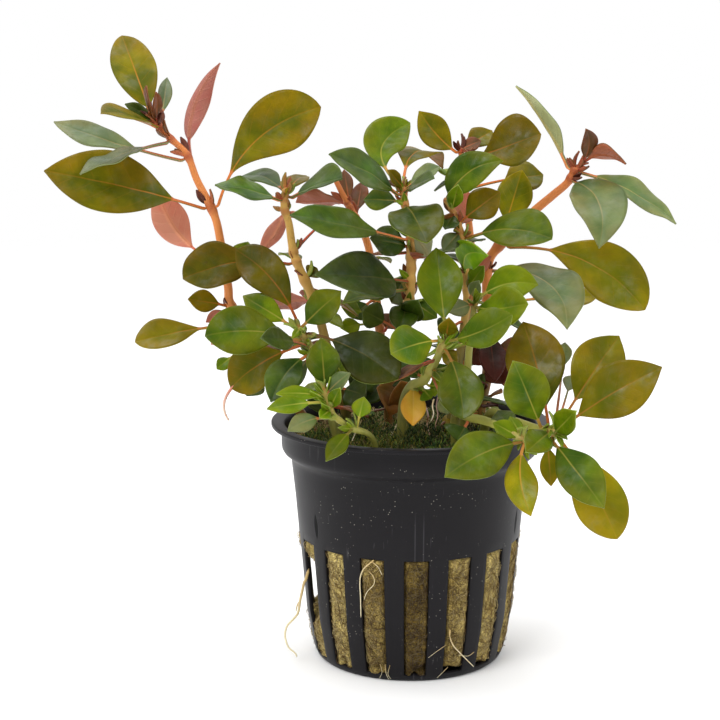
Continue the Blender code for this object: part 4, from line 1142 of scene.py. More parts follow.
def leaf_upper(kind, tones):
    """The waxy upper side."""
    finish = Finish(f"leaf_{kind}_upper", IOR=tones.sheen, Coat_Roughness=0.28)
    across, along, from_rib, off_vein, slim = read_blade(finish)
    veins = (1 - finish.step(off_vein, 0.0, 0.08)) * finish.step(from_rib, 0.2, 0.8)
    veins = veins * (1 - finish.step(across, 0.6, 0.95))
    rib = 1 - finish.step(from_rib, 0.05, 0.2)
    cloud = finish.noise(6, 3)
    mottle = finish.noise(1.4, 3)
    base = finish.mix(finish.step(cloud, 0.3, 0.66), tones.main, tones.shade)
    flush = finish.step(across * 0.35 + along * 0.3 + finish.noise(9, 3) * 1.6, 0.95, 1.5)
    base = finish.mix(flush * 0.45, base, tones.flush)
    base = finish.mix(finish.step(mottle, 0.45, 0.72) * 0.25, base, tones.shade)
    base = finish.mix(veins * 0.07, base, tones.rib)
    base = finish.mix(rib * (0.7 - finish.step(along, 0.25, 0.9) * 0.55), base, tones.rib)
    base = finish.mix(slim, base, tones.stalk)
    spots = finish.step(finish.noise(0.9, 1), 0.76, 0.8) * finish.step(finish.noise(8), 0.5, 0.6)
    base = finish.mix(spots * 0.6, base, paint(84, 52, 20))
    base = finish.mix(finish.step(across, 0.96, 1.0) * 0.3, base, tones.edge)
    finish.colour(tinted(finish, base))
    finish.roughness(tones.gloss + mottle * 0.16 + spots * 0.2)
    sheen = finish.step(finish.noise(4, 3), 0.42, 0.66) * finish.step(mottle, 0.3, 0.6)
    finish.feed(finish.shader.inputs["Coat Weight"], sheen * COAT_SHARE)
    finish.bump(finish.noise(0.3, 2) * 0.2 + (1 - veins) * 0.1 + mottle * 0.5 + cloud, 0.14)
    return finish


def leaf_under(kind, tones):
    """The duller underside, with its veins standing out."""
    finish = Finish(f"leaf_{kind}_under", IOR=1.4)
    across, along, from_rib, off_vein, slim = read_blade(finish)
    veins = (1 - finish.step(off_vein, 0.02, 0.1)) * (1 - finish.step(across, 0.7, 0.98))
    rib = 1 - finish.step(from_rib, 0.3, 0.6)
    base = finish.mix(finish.step(finish.noise(4, 3), 0.4, 0.75) * 0.5, tones.under, tones.flush)
    base = finish.mix(finish.step(finish.noise(9, 2), 0.45, 0.7) * 0.4, base, tones.main)
    base = finish.mix(veins * 0.3, base, tones.edge)
    base = finish.mix(rib * (0.8 - along * 0.5), base, tones.rib)
    finish.colour(tinted(finish, finish.mix(slim, base, tones.stalk)))
    finish.roughness(0.55 + finish.noise(1) * 0.12)
    finish.bump(finish.noise(0.3, 2) * 0.6 + veins, 0.04)
    return finish


def leaf_edge(kind, tones):
    """The thin pale line around the blade."""
    finish = Finish(f"leaf_{kind}_edge", IOR=1.4)
    finish.colour(finish.mix(finish.noise(2, 2), tones.edge, tones.main))
    finish.roughness(0.5 + finish.noise(1) * 0.1)
    return finish


LEAF_FINISHES = {}
for kind, (gloss, sheen, *colours) in KINDS.items():
    tones = Tones(gloss, sheen, *(paint(*colour) for colour in colours))
    LEAF_FINISHES[kind] = [leaf_upper(kind, tones), leaf_under(kind, tones), leaf_edge(kind, tones)]
print(len(LEAF_FINISHES), "kinds of leaf")

# %% [markdown]
# ## The leaf's form
#
# A leaf could be one quad with a picture on it. Seen close it isn't flat at all: the midrib is a
# groove above and a round rib below, the blade swells a little between the side veins, its margin
# waves, and the stalk is as thick as it is wide. So each leaf is two grids, an upper and a lower
# one, bridged at the rim. The columns crowd towards the midrib, where the form is finest, and every
# vertex is moved onto its own side of the blade. The tints come first: they make single leaves
# lighter, above 0, or darker, below it. They are partly the leaves' own tones and partly painted
# light and shade, set to the brightness that each leaf shows, lit or shaded: the largest, such as
# leaf_bright's and leaf_upright's, paint light and sheen onto leaves that lie in shade.

# %% The tints of single leaves
# Partly own tone, partly painted light and shade: the largest values paint light and sheen onto shaded
# leaves.
LEAF_TINTS_AND_PAINTED_LIGHT = {
    "left_tall": {"leaf_top": 0.8, "leaf_low": 0.4, "leaf_long": 0.1, "leaf_front": -0.7,
                  "leaf_pink": -1.0, "leaf_olive": 0.2, "leaf_behind": 0.8, "leaf_large": 0.8,
                  "leaf_yellow": -0.7},
    "left": {"leaf_left": 2.6, "leaf_back": 0.6, "leaf_right": 0.8, "leaf_olive": -0.9,
             "leaf_hanging": 0.5},
    "centre": {"leaf_dark_long": 1.5, "leaf_upper_left": 1.6, "leaf_back_left": 0.2,
               "leaf_facing": -1.4, "leaf_dark_low": -0.8},
    "centre_right": {"leaf_top": -0.2, "leaf_right": -0.7, "leaf_bright": 4.0},
    "back_right": {"leaf_left": 1.3, "leaf_large": -0.4, "leaf_behind": 0.6},
    "right_tall": {"leaf_narrow": 1.7, "leaf_red": 0.5, "leaf_hanging": 0.0, "leaf_right": 1.2,
                   "leaf_golden": -0.4, "leaf_grey": 0.6, "leaf_upright": 3.0, "leaf_old": -1.0},
    "front_centre": {"leaf_up": -1.0, "leaf_right": -1.0, "leaf_left": 0.8, "leaf_down": -1.2},
    "front_left": {"leaf_up_left": -1.0, "leaf_left": -0.3, "leaf_low_left": -0.1, "leaf_down": 1.2,
                   "leaf_right_up": -0.5, "leaf_right_down": -2.2},
    "front_sprout": {"leaf_up": -0.8, "leaf_low_left": 0.2, "leaf_over_rim": -1.5},
    "lower_right": {"leaf_left": -0.6, "leaf_down": 0.3},
    "far_right": {"leaf_up_left": 0.6, "leaf_upper_right": -1.0, "leaf_right": -1.0,
                  "leaf_low_green": -0.3},
}
print(sum(len(tints) for tints in LEAF_TINTS_AND_PAINTED_LIGHT.values()), "leaves have a tint that was chosen")

# %% Lay a leaf
SKIN = 0.16
RIB_DEPTH = 0.34
RIB_WIDTH = 0.28
GROOVE_DEPTH = 0.1
GROOVE_WIDTH = 0.3
RIPPLE = 0.35
RIPPLE_SIZE = 5
FOOT_DEPTH = 0.85
QUILT = 0.035
VEIN_COUNT = 6.5
VEIN_SLANT = 0.8
VEIN_CURVE = 0.045
COLUMN_CROWD = 1.5
LEAF_GRID = (20, 56)
YOUNG_GRID = (12, 24)


def two_grids(shape, columns, rows, first_slot):
    """Add an upper and a lower grid to a bmesh, bridged at the rim, and return their vertices."""
    vertex_count, face_count = len(shape.verts), len(shape.faces)
    bmesh.ops.create_grid(shape, x_segments=columns, y_segments=rows, size=1.0)
    shape.verts.ensure_lookup_table()
    shape.faces.ensure_lookup_table()
    upper_verts, upper = shape.verts[vertex_count:], shape.faces[face_count:]
    bmesh.ops.duplicate(shape, geom=upper)
    shape.verts.ensure_lookup_table()
    shape.faces.ensure_lookup_table()
    lower_verts = shape.verts[vertex_count + len(upper_verts):]
    lower = shape.faces[face_count + len(upper):]
    bmesh.ops.reverse_faces(shape, faces=lower)
    border = [edge for face in upper + lower for edge in face.edges if edge.is_boundary]
    rim = bmesh.ops.bridge_loops(shape, edges=border)["faces"]
    for slot, faces in enumerate((upper, lower, rim)):
        for face in faces:
            face.material_index = first_slot + slot
            face.smooth = True
    return upper_verts, lower_verts


def lay_leaf(shape, blade, grid, chance, first_slot):
    """Add one leaf to a bmesh, its finishes in three slots from the first one."""
    place_layer = shape.verts.layers.float_vector["place"]
    vein_layer = shape.verts.layers.float["vein"]
    tint_layer = shape.verts.layers.float["tint"]
    columns, rows = grid
    upper_verts, lower_verts = two_grids(shape, columns, rows, first_slot)
    length = blade.chord.length / MM
    foot = -(blade.root - blade.start).length / MM / length * FOOT_DEPTH
    tint = chance.uniform(-0.5, 0.5)
    # a chosen tint holds painted light and shade as well as the leaf's own tone
    tint = LEAF_TINTS_AND_PAINTED_LIGHT.get(blade.shoot_name, {}).get(blade.leaf.name, tint)
    wave_turns, wave_start = chance.uniform(1.3, 2.6), chance.uniform(0, 2 * pi)
    twist = chance.gauss(0, 0.10)
    wave_height = chance.uniform(0.15, 0.5)
    drift = Vector((chance.uniform(0, 50), 0, 0))
    pitch = length * (1 - blade.leaf.stalk) / VEIN_COUNT
    sections = []
    for row in range(rows + 1):
        along = foot + (1 - foot) * row / rows
        heading = blade.heading(max(along, 0.0))
        side = heading.cross(blade.up).normalized()
        normal = side.cross(heading)
        turn = Matrix.Rotation(twist * max(along, 0.0), 3, heading)
        sections.append((along, blade.middle(along), turn @ side, turn @ normal,
                         blade.half_width(max(along, 0.0)) / MM))
    for verts, level in ((upper_verts, 1), (lower_verts, -1)):
        for vertex in verts:
            crowd = vertex.co.x
            across = (abs(crowd) ** COLUMN_CROWD) * (1 if crowd > 0 else -1)
            along, middle, side, normal, half = sections[round((vertex.co.y + 1) / 2 * rows)]
            aside = abs(across) * half
            fullness = min(half / 2.0, 1.0)
            vein = (along - blade.leaf.stalk) * length - VEIN_SLANT * aside - VEIN_CURVE * aside**2
            vein = vein / pitch + 0.3 * across
            swell = QUILT * sin(pi * vein)**2 * min(aside / 1.2, 1.0) * (1 - across**4) * fullness
            lift = blade.leaf.fold * abs(across)**FOLD_CURVE * half
            wave = sin(wave_start + 2 * pi * wave_turns * along + (0.9 if across > 0 else 0.0))
            lift += wave * wave_height * across**2 * fullness * min(half / 4.0, 1.0)
            spot = Vector((across * half, along * length, 0)) / RIPPLE_SIZE
            lift += RIPPLE * noise.noise(spot + drift) * fullness
            skin = SKIN * (1 - 0.35 * across**4)
            if level > 0:
                lift += swell + skin - GROOVE_DEPTH * exp(-(aside / GROOVE_WIDTH)**2) * fullness
            else:
                slim = 1 - 0.75 * max(along, 0.0)
                lift += swell - skin - RIB_DEPTH * slim * exp(-(aside / (RIB_WIDTH * slim))**2)
            vertex.co = middle + (side * across * half + normal * lift) * MM
            vertex[place_layer] = (across, max(along, 0.0), half)
            vertex[vein_layer] = vein
            vertex[tint_layer] = tint


def leaf_shape():
    """Start a bmesh that holds what the leaf finishes read."""
    shape = bmesh.new()
    shape.verts.layers.float_vector.new("place")
    shape.verts.layers.float.new("vein")
    shape.verts.layers.float.new("tint")
    return shape


print("a leaf has", 4 * LEAF_GRID[0] * LEAF_GRID[1], "triangles on its two sides")

# %% [markdown]
# ## The stems
#
# The stems are soft and round, and thicken a little where each pair of leaves stands. Near the wool
# they are dull, ochre and dark: partly their own colour and partly painted shade under the leaves.
# Towards the crown they redden, most of all at the nodes. Each is one thread with a ring every
# millimetre or less, whose marks say how near the closest node is.

# %% Stem finishes
StemTones = namedtuple("StemTones", "foot middle crown node")
# The first colour, at the foot, is partly painted shade: darker than the stems' own ochre.
STEMS = {
    "orange": ((116, 88, 36), (214, 132, 66), (196, 112, 56), (146, 60, 34)),
    "yellow": ((100, 94, 36), (204, 160, 80), (186, 150, 70), (158, 88, 42)),
    "green": ((112, 112, 44), (156, 156, 68), (166, 158, 76), (150, 120, 56)),
}


def stem_finish(name, tones):
    finish = Finish(f"stem_{name}", IOR=1.42)
    along = finish.attribute("along")
    node = finish.attribute("mark")
    streaks = finish.noise(1.2, 3, (1, 1, 4))
    # dark at the foot: partly painted shade under the leaves
    base = finish.mix(finish.step(along, 0.15, 0.45), tones.foot, tones.middle)
    base = finish.mix(finish.step(along, 0.6, 1.0), base, tones.crown)
    base = finish.mix(node * finish.step(along, 0.2, 0.8) * 0.75, base, tones.node)
    base = finish.mix(finish.step(streaks, 0.45, 0.7) * 0.35, base, tones.crown)
    finish.colour(finish.mix(finish.step(finish.noise(0.5, 2), 0.62, 0.75) * 0.3, base,
                             paint(110, 70, 30)))
    finish.roughness(0.42 + streaks * 0.15)
    finish.bump(streaks + finish.noise(0.3, 2) * 0.4, 0.04)
    return finish


STEM_FINISHES = {name: stem_finish(name, StemTones(*(paint(*colour) for colour in colours)))
                 for name, colours in STEMS.items()}
STEM_SLOTS = {"orange": "stem_orange", "yellow": "stem_yellow", "green": "stem_yellow"}
STEM_ROW = 0.7
STEM_RING = 14
NODE_SWELL = 0.3
NODE_REACH = 1.1
BUD_SIZE = 0.35


def stem_thread(shoot, shares):
    """Make the thread of a shoot's stem, swollen where its leaves stand."""
    points = stem_points(shoot)
    length = sum((b - a).length for a, b in zip(points, points[1:])) / MM
    steps = round(length / STEM_ROW)
    route, radii, marks = [], [], []
    for step in range(steps + 1):
        share = step / steps
        near = max((exp(-((share - node) * length / NODE_REACH)**2) for node in shares), default=0.0)
        route.append(route_point(points, share))
        radii.append(stem_radius(shoot, share) * (1 + NODE_SWELL * near))
        marks.append(near)
    tip = (route[-1] - route[-2]).normalized()
    route += [route[-1] + tip * BUD_SIZE * MM, route[-1] + tip * 1.6 * BUD_SIZE * MM]
    radii += [radii[-1] * 0.7, 0.0]
    marks += [1.0, 1.0]
    radii[0] = 0.0
    return Thread(route, radii, 0.0, marks)


# %% [markdown]
# ## The shoots' own leaves and buds
#
# Now the stems and leaves come together. Each leaf that is a solid of its own is replaced by its
# fine leaf, and a shoot's small leaves share one mesh. In the angle above each leaf sit two tiny
# buds, red-brown on the orange stems and green on the others, which make the nodes look thick.

# %% Make every shoot
BUD_COLOURS = {"orange": ("brown", "brown", "maroon"), "yellow": ("brown", "olive", "bright"),
               "green": ("bright", "bright", "green")}
KIND_SLOTS = {"maroon": "brown", "yellow": "golden", "tan": "brown"}
BUD_GRID = (6, 10)
leaf_trees = []


def leaf_towards(shoot, share, way, length, **form):
    """Describe a leaf that leaves the stem at a share of its route in some direction."""
    centre = route_point(stem_points(shoot), share)
    tip = centre + way.normalized() * length * MM
    return Leaf("small_leaf", node=tuple(picture_place(centre)), tip=tuple(picture_place(tip)),
                depth=tip.y / MM, own=False, **form)


def bud_leaves(chance, shoot, blade):
    """Describe the two buds in the angle between a leaf and its stem."""
    ahead = route_point(stem_points(shoot), min(blade.share + 0.02, 1.0)) - blade.root
    out = blade.heading(0.0)
    for _ in range(2):
        way = ahead.normalized() * chance.uniform(0.3, 1.0) + out * chance.uniform(0.2, 1.0)
        way += Vector((chance.gauss(0, 0.3), chance.gauss(0, 0.3), chance.gauss(0, 0.3)))
        length = chance.uniform(2.0, 4.2)
        yield leaf_towards(shoot, blade.share, way, length, width=length * 0.34, stalk=0.1,
                           faces=tuple(out + Vector((0, 0, 0.2))), arch=0.08,
                           colour=chance.choice(BUD_COLOURS[shoot.colour]))


def leaf_slot(kind):
    """Return the record's material slot for a kind of leaf."""
    return f"leaf_{KIND_SLOTS.get(kind, kind)}"


def make_shoot(shoot, chance):
    blades = [Blade(leaf, shoot) for leaf in shoot.leaves]
    thread = stem_thread(shoot, [blade.share for blade in blades])
    add_piece(f"{shoot.name}_stem_skin", sweep([thread], STEM_RING), [STEM_FINISHES[shoot.colour]],
              STEM_SLOTS[shoot.colour], [f"{shoot.name}_stem"])
    young = leaf_shape()
    finishes = []
    for blade in blades:
        leaf = blade.leaf
        if leaf.own:
            shape = leaf_shape()
            lay_leaf(shape, blade, LEAF_GRID, chance, 0)
            leaf_trees.append(BVHTree.FromBMesh(shape))
            node = f"{shoot.name}_{leaf.name}"
            add_piece(f"{node}_skin", shape, LEAF_FINISHES[leaf.colour], leaf_slot(leaf.colour), [node])
        else:
            lay_leaf(young, blade, YOUNG_GRID, chance, len(finishes))
            finishes += LEAF_FINISHES[leaf.colour]
    leaf_trees.append(BVHTree.FromBMesh(young))
    for blade in blades:
        for leaf in bud_leaves(chance, shoot, blade):
            lay_leaf(young, Blade(leaf, shoot, blade.share), BUD_GRID, chance, len(finishes))
            finishes += LEAF_FINISHES[leaf.colour]
    add_piece(f"{shoot.name}_young_leaves", young, finishes, "leaf_bright")


chance = random.Random(7)
for shoot in SHOOTS:
    make_shoot(shoot, chance)
print("shoots made")

# %% [markdown]
# ## Leaves that show only in part
#
# Low in the bunch and behind it the photograph shows more leaves, each half hidden by others: dark
# ones between the stems, two brown dead ones by the yellow one, and a heap of dark red dead leaves
# at the right, by the wool. The table gives them to the stems that they most likely grow from.

# %% Half-hidden leaves
BACK, UP, FRONT = (0, 0.7, 0.7), (0, -0.5, 0.85), (0, -0.92, 0.4)
HALF_HIDDEN = {
    "left_tall": (
        Leaf("tip_behind_olive", "green", (226, 282), (248, 242), 4, 5.0, 0.3, FRONT),
        Leaf("tip_low", "bright", (247, 345), (217, 369), 2, 2.8, 0.5, FRONT),
        Leaf("pink_low", "pink", (244, 333), (211, 344), 3, 4.4, 0.2, BACK),
        Leaf("dark_low", "dark", (262, 365), (247, 396), 2, 6.0, 0.2, FRONT),
    ),
    "left": (
        Leaf("dark_right", "dark", (338, 388), (366, 396), -4, 7.0, 0.1, FRONT),
        Leaf("dark_left", "dark", (338, 398), (306, 404), -6, 5.4, 0.1, FRONT),
        Leaf("green_mid", "green", (330, 352), (346, 382), -5, 5.0, 0.2, FRONT),
        Leaf("red_mid", "brown", (318, 312), (300, 292), 3, 4.0, 0.3, BACK),
    ),
    "left_centre": (
        Leaf("dark_mid", "dark", (376, 300), (352, 318), 4, 5.0, 0.2, FRONT),
        Leaf("brown_mid", "brown", (380, 330), (394, 314), 5, 4.4, 0.2, FRONT),
        Leaf("dark_low", "dark", (383, 362), (352, 392), 3, 6.6, 0.2, FRONT),
        Leaf("dark_lower", "dark", (385, 378), (366, 404), 2, 5.4, 0.2, UP),
    ),
    "centre": (
        Leaf("dark_left", "dark", (406, 330), (362, 310), -2, 5.6, 0.4, FRONT),
        Leaf("dark_right", "dark", (407, 322), (418, 300), -9, 5.0, 0.2, FRONT),
        Leaf("brown_dead", "tan", (404, 399), (377, 388), -8, 8.6, 0.1, FRONT, 0.1),
        Leaf("orange_dead", "tan", (404, 402), (401, 381), -10, 7.2, 0.1, FRONT, 0.1),
        Leaf("dark_low", "dark", (405, 362), (392, 386), -6, 6.0, 0.2, FRONT),
        Leaf("dark_lower", "dark", (405, 350), (424, 378), -4, 6.0, 0.2, FRONT),
    ),
    "centre_right": (
        Leaf("pale_bud", "pale", (467, 300), (479, 281), -6, 2.8, 0.3, FRONT),
        Leaf("dark_mid", "dark", (464, 322), (440, 336), -4, 6.0, 0.2, FRONT),
        Leaf("dark_low", "dark", (459, 362), (436, 384), -3, 6.6, 0.2, FRONT),
        Leaf("dark_right", "dark", (456, 380), (484, 388), -4, 6.0, 0.2, UP),
    ),
    "right_tall": (
        Leaf("maroon_left", "maroon", (489, 340), (467, 364), 2, 7.0, 0.1, FRONT),
        Leaf("maroon_right", "brown", (489, 345), (513, 354), 0, 6.0, 0.2, FRONT),
        Leaf("maroon_low", "maroon", (487, 360), (502, 384), -2, 6.4, 0.2, FRONT),
        Leaf("chip_left", "maroon", (486, 392), (478, 380), -4, 3.2, 0.1, UP),
        Leaf("chip_right", "tan", (484, 398), (502, 392), -4, 3.4, 0.1, UP),
        Leaf("chip_low", "maroon", (484, 404), (498, 406), -7, 3.2, 0.1, UP),
        Leaf("dark_right", "dark", (488, 352), (522, 372), 2, 8.0, 0.1, FRONT),
    ),
    "front_centre": (
        Leaf("bright_low", "bright", (424, 382), (440, 386), -18, 4.2, 0.1, FRONT),
        Leaf("green_low", "bright", (422, 384), (431, 399), -19, 3.6, 0.1, FRONT),
    ),
    "lower_right": (
        Leaf("dark_on_rim", "dark", (470, 419), (457, 441), -22, 7.0, 0.15, FRONT),
    ),
}
INNER_GRID = (8, 16)
LOWEST_HIDDEN_SHARE = 0.1


def nestle(shoot, leaves, name):
    """Make one mesh of some leaves of a shoot, without those that would cut another leaf."""
    young = leaf_shape()
    finishes = []
    for leaf, share, must in leaves:
        blade = Blade(leaf, shoot, share or nearest_share(shoot, leaf.node, LOWEST_HIDDEN_SHARE))
        trial = leaf_shape()
        lay_leaf(trial, blade, INNER_GRID, random.Random(len(finishes)), 0)
        tree = BVHTree.FromBMesh(trial)
        trial.free()
        if not must and any(tree.overlap(other) for other in leaf_trees):
            continue
        leaf_trees.append(tree)
        lay_leaf(young, blade, INNER_GRID, random.Random(len(finishes)), len(finishes))
        finishes += LEAF_FINISHES[leaf.colour]
    if finishes:
        add_piece(f"{shoot.name}_{name}", young, finishes, "leaf_dark")
    return len(finishes) // 3


for shoot in SHOOTS:
    rows = [(leaf, None, True) for leaf in HALF_HIDDEN.get(shoot.name, ())]
    nestle(shoot, rows, "half_hidden_leaves")
print("half-hidden leaves made")

# %% [markdown]
# ## Leaves inside the bunch
#
# The rest of the inside, of which the photograph shows only dark corners, is filled by rule. The
# leaves stand in pairs, each pair turned a quarter from the one below, and droop a little, so that
# they show their upper sides from outside. Any that would cut through a leaf is left out.

# %% Inner leaves
INNER_NODES = {
    "left": (0.14, 0.5, 20), "left_centre": (0.12, 0.45, 60), "centre": (0.14, 0.72, 0),
    "centre_right": (0.14, 0.72, 40), "back_right": (0.12, 0.86, 10), "right_tall": (0.1, 0.34, 70),
    "front_centre": (0.4, 0.8, 30), "right_small": (0.3, 0.8, 0), "left_tall": (0.1, 0.3, 45),
    "front_left": (0.25, 0.6, 0),
}
INNER_SPACING = 4.4
INNER_COLOURS = ("dark", "dark", "green", "dark", "brown", "olive", "green", "bright")


def inner_leaves(chance, shoot, low, high, turn):
    """Describe pairs of small leaves up a stem between two shares of its route."""
    points = stem_points(shoot)
    length = sum((b - a).length for a, b in zip(points, points[1:])) / MM
    count = max(round((high - low) * length / INNER_SPACING), 1)
    for index in range(count + 1):
        for half_turn in (0, pi):
            azimuth = radians(turn) + index * pi / 2 + half_turn + chance.uniform(-0.35, 0.35)
            rise = chance.uniform(-0.6, 0.35)
            way = Vector((cos(azimuth) * cos(rise), sin(azimuth) * cos(rise), sin(rise)))
            share = low + (high - low) * index / count
            reach = chance.uniform(6.0, 12.0)
            leaf = leaf_towards(shoot, share, way, reach, width=reach * chance.uniform(0.36, 0.48),
                                stalk=chance.uniform(0.15, 0.3), arch=chance.uniform(0.0, 0.12),
                                faces=(0, -0.1, 1), sweep=chance.uniform(-0.1, 0.1),
                                colour=chance.choice(INNER_COLOURS))
            yield leaf, share, False


chance = random.Random(23)
for shoot in SHOOTS:
    if shoot.name in INNER_NODES:
        rows = inner_leaves(chance, shoot, *INNER_NODES[shoot.name])
        print(shoot.name, nestle(shoot, rows, "inner_leaves"), "inner leaves")

# %% [markdown]
# ## Moss
#
# The front of the wool is overgrown with moss. Soft patches of deep green are painted shade in the
# hollows between its clumps, and each tip grows yellower towards its end, a painted highlight where
# single tips catch the light. Each tip is a short flattened thread, and together they form cushions
# whose depth a soft noise sets. At the left the wool stops short of the rim, and there isn't any
# moss.

# %% Moss
def moss_finish():
    finish = Finish("moss", Roughness=0.7)
    tint = finish.attribute("tint")
    along = finish.attribute("along")
    base = finish.mix(finish.step(tint, -0.6, 0.7), paint(30, 62, 8), paint(84, 112, 16))
    base = finish.mix(finish.step(tint, 0.75, 0.95) * 0.8, base, paint(150, 138, 46))
    # tips yellower towards their ends: painted highlight
    base = finish.mix(finish.step(along, 0.3, 1.0) * 0.4, base, paint(120, 144, 28))
    # deep green patches: painted shade in the hollows between the clumps
    finish.colour(finish.mix(finish.step(finish.noise(4, 3), 0.42, 0.66) * 0.8, base, paint(18, 34, 6)))
    return finish


MOSS = moss_finish()
MOSS_TIPS = 13000
MOSS_DEPTH = 3.3
MOSS_EDGE = 24.2
KHAKI_PATCH = (-8.0, -16.0, 0.0)
KHAKI_REACH = 6.0
TIP_FLATNESS = 0.6


def moss_depth(place):
    """Return how thick the moss lies over a place, in millimetres."""
    patch = noise.noise(Vector((place.x, place.y, 40)) / 6)
    patch += noise.noise(Vector((place.x, place.y, 80)) / 2.6) * 0.7
    front = min(max((12 - place.y) / 18, 0.0), 1.0)
    left = min(max((place.x + 23) / 8, 0.0), 1.0)
    return MOSS_DEPTH * max(front * left * 0.9 + patch * 1.1 - 0.1, 0.0)


def moss_tip(chance, place, depth):
    """Grow one moss tip from somewhere in the cushion."""
    height = wool_height(place) - 0.2 + depth * chance.random()
    azimuth = chance.uniform(-pi, pi)
    spread = chance.uniform(0.2, 1.1)
    way = Vector((cos(azimuth) * spread, sin(azimuth) * spread, 1)).normalized()
    length = chance.uniform(0.7, 2.2)
    start = Vector((place.x, place.y, height))
    droop = Vector((0, 0, -0.25 * length))
    points = [start, start + way * length * 0.4, start + way * length * 0.75,
              start + way * length + droop]
    wide = chance.uniform(0.08, 0.2) * MM
    from_patch = (place - Vector(KHAKI_PATCH)).length / KHAKI_REACH
    tint = min(chance.uniform(-1, 1) + 1.1 * exp(-from_patch**2), 1.0)
    return Thread([point * MM for point in points], [0.0, wide, wide * 0.8, 0.0], tint)


def make_moss():
    chance = random.Random(5)
    tips = []
    for _ in range(MOSS_TIPS):
        radius = MOSS_EDGE * sqrt(chance.random())
        azimuth = chance.uniform(-pi, pi)
        place = Vector((cos(azimuth) * radius, sin(azimuth) * radius, 0))
        depth = moss_depth(place)
        if depth > 0.25:
            tips.append(moss_tip(chance, place, depth))
    add_piece("moss", sweep(tips, FIBRE_SIDES, TIP_FLATNESS), [MOSS], "wool")
    print(len(tips), "moss tips")


make_moss()

# %% [markdown]
# ## Roots
#
# A few thin roots have found their way out. Some hang from the slots, some lie on the wool behind
# them, and white and pink ones cross the moss. Their routes are picked off the photograph; a root
# on the wall or on the wool is laid on that surface, so it doesn't float in other views.

# %% Roots
WALL_ROUNDS = 8
FIRST_WALL_DEPTH = -20.0


def outer_wall_place(column, row, lift):
    """Return the point of the pot's front that the photograph shows there, lifted off the wall."""
    depth = FIRST_WALL_DEPTH
    for _ in range(WALL_ROUNDS):
        place = sight(column, row, depth) / MM
        radius = outer_radius(place.z) + lift
        depth = -sqrt(max(radius**2 - place.x**2, 0.0))
    return sight(column, row, depth)


ROOT_EDGE = 22.5
NEAREST_ROOT, FARTHEST_ROOT = -14.0, 24.0
HALVINGS = 24


def wool_top_place(column, row, lift):
    """Return the point over the wool that the photograph shows there, lifted off it."""
    near, far = NEAREST_ROOT, FARTHEST_ROOT
    for _ in range(HALVINGS):
        depth = (near + far) / 2
        place = sight(column, row, depth) / MM
        if place.z > wool_height(place) + lift and place.xy.length < ROOT_EDGE:
            near = depth
        else:
            far = depth
    return sight(column, row, near)


def root_finish(name, pale, warm):
    finish = Finish(name, Roughness=0.5)
    along = finish.attribute("along")
    base = finish.mix(finish.step(along, 0.0, 0.8), warm, pale)
    finish.colour(finish.mix(finish.step(finish.noise(0.7, 2), 0.5, 0.75) * 0.4, base, warm))
    return finish


CREAM_ROOT = root_finish("root_cream", paint(226, 214, 176), paint(186, 158, 100))
PINK_ROOT = root_finish("root_pink", paint(222, 190, 168), paint(198, 112, 90))
BROWN_ROOT = root_finish("root_brown", paint(150, 104, 58), paint(104, 56, 30))

HANGING_ROOTS = (
    (0.3, ((309, 568, -9), (306, 579, -9), (304, 583, -9), (302, 592, -9), (300, 601, -9),
           (298, 613, -9), (292.5, 620, -9), (287, 626, -9), (285, 634, -9), (286, 641, -9),
           (289, 648, -9), (295, 653, -9), (297, 657.5, -9))),
    (0.22, ((300, 601, -9), (297, 606, -8), (296, 611, -7))),
)
PINK_ROOTS = (
    (0.32, ((236, 384, -13), (231, 389, -13), (226, 397, -13), (224, 405, -13), (225, 413, -13),
            (229, 421, -13))),
)
WALL_ROOTS = (
    (0.16, 0.12, ((374, 560), (369, 564), (363, 570), (360, 580), (360.5, 598), (361, 618))),
    (0.1, 0.1, ((367, 570), (373, 576), (374, 584), (367, 592), (364, 600))),
    (0.1, 0.1, ((372, 562), (378, 567), (382, 575))),
    (0.16, 0.2, ((450, 629), (450, 637), (453, 645), (459, 652), (467, 660), (474, 667))),
    (0.05, 0.1, ((446, 645), (436, 652), (428, 658))),
    (0.06, 0.15, ((474, 652), (468, 656), (458, 655))),
    (0.05, 0.1, ((448, 667), (442, 673), (437, 678))),
    (0.05, 0.25, ((380, 664), (382, 672), (379, 679))),
    (0.06, 0.25, ((385, 664), (386, 673), (389, 680))),
    (0.05, 0.25, ((390, 665), (388, 674), (391, 679))),
)
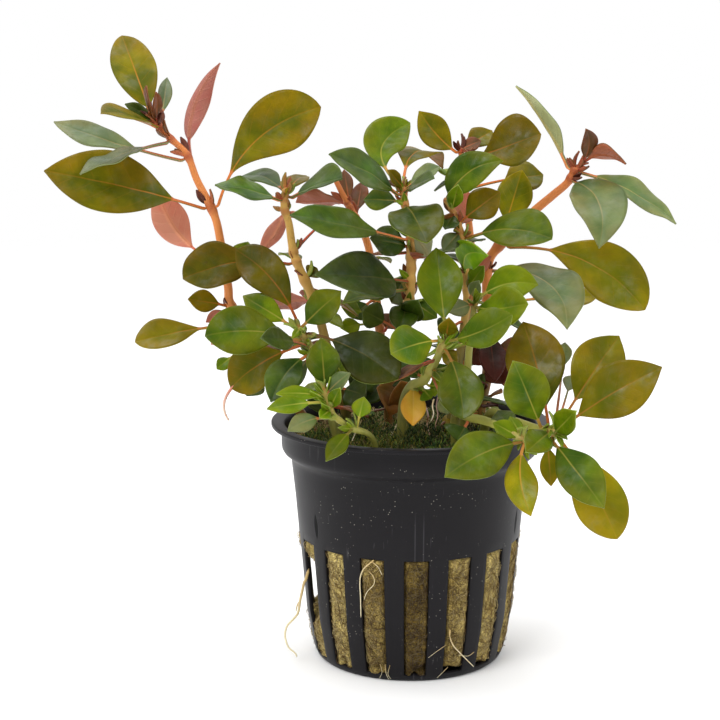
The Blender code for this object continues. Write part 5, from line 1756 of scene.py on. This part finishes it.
TOP_ROOTS = (
    ("cream", 0.22, ((399, 421, 3.4), (394, 430, 2.6), (385, 446, 2.2))),
    ("pink", 0.2, ((404, 424, 3.2), (405, 432, 2.5), (406, 441, 2.0))),
    ("cream", 0.17, ((434, 399, 4.4), (432.4, 406, 4.0), (433.6, 414, 3.4), (431, 421, 2.6),
                     (428, 425, 1.6))),
    ("brown", 0.15, ((438, 397, 4.4), (436.4, 406, 4.0), (437.8, 416, 3.2), (435.4, 425, 2.4),
                     (437, 433, 1.4))),
    ("brown", 0.25, ((450, 419, 4.0), (442, 424, 4.0), (442, 431, 3.0), (447, 438, 2.4))),
    ("pink", 0.3, ((455, 417, 4.4), (452, 424, 4.0), (451, 433, 3.4), (453, 446, 3.0))),
    ("brown", 0.28, ((374, 411, 3.4), (384, 409, 3.8), (396, 406, 4.2), (405, 401, 4.0))),
    ("cream", 0.22, ((478, 402, 4.0), (487, 406, 4.2), (496, 412, 3.6))),
    ("brown", 0.22, ((474, 408, 3.6), (484, 402, 4.6), (497, 404, 4.2))),
    ("pink", 0.18, ((480, 406, 4.0), (486, 413, 3.4), (484, 419, 2.4))),
    ("brown", 0.2, ((425, 405, 4.0), (428, 415, 3.4), (427, 424, 2.6), (430, 436, 2.2))),
    ("cream", 0.16, ((362, 420, 2.6), (358, 427, 2.4), (352, 441, 2.0))),
    ("brown", 0.2, ((298, 404, 3.0), (300, 396, 4.0), (297, 388, 5.0))),
)
ROOT_FINISHES = {"cream": CREAM_ROOT, "pink": PINK_ROOT, "brown": BROWN_ROOT}
ROOT_STEPS = 28
ROOT_SIDES = 8


def make_roots():
    free = [smooth_thread([sight(*place) for place in places], ROOT_STEPS, thick, thick * 0.5)
            for thick, places in HANGING_ROOTS]
    add_piece("hanging_roots", sweep(free, ROOT_SIDES), [CREAM_ROOT], "wool")
    pink = [smooth_thread([sight(*place) for place in places], ROOT_STEPS, thick, thick * 0.6)
            for thick, places in PINK_ROOTS]
    add_piece("aerial_root", sweep(pink, ROOT_SIDES), [PINK_ROOT], "wool")
    wall = [smooth_thread([outer_wall_place(column, row, lift) for column, row in places],
                          ROOT_STEPS, thick, thick * 0.5) for thick, lift, places in WALL_ROOTS]
    add_piece("roots_in_slots", sweep(wall, ROOT_SIDES), [CREAM_ROOT], "wool")
    for kind, finish in ROOT_FINISHES.items():
        top = [smooth_thread([wool_top_place(*place) for place in places], ROOT_STEPS, thick, thick * 0.6)
               for name, thick, places in TOP_ROOTS if name == kind]
        add_piece(f"{kind}_roots_on_wool", sweep(top, ROOT_SIDES), [finish], "wool")
    print(len(free) + len(pink) + len(wall) + len(TOP_ROOTS), "roots")


make_roots()
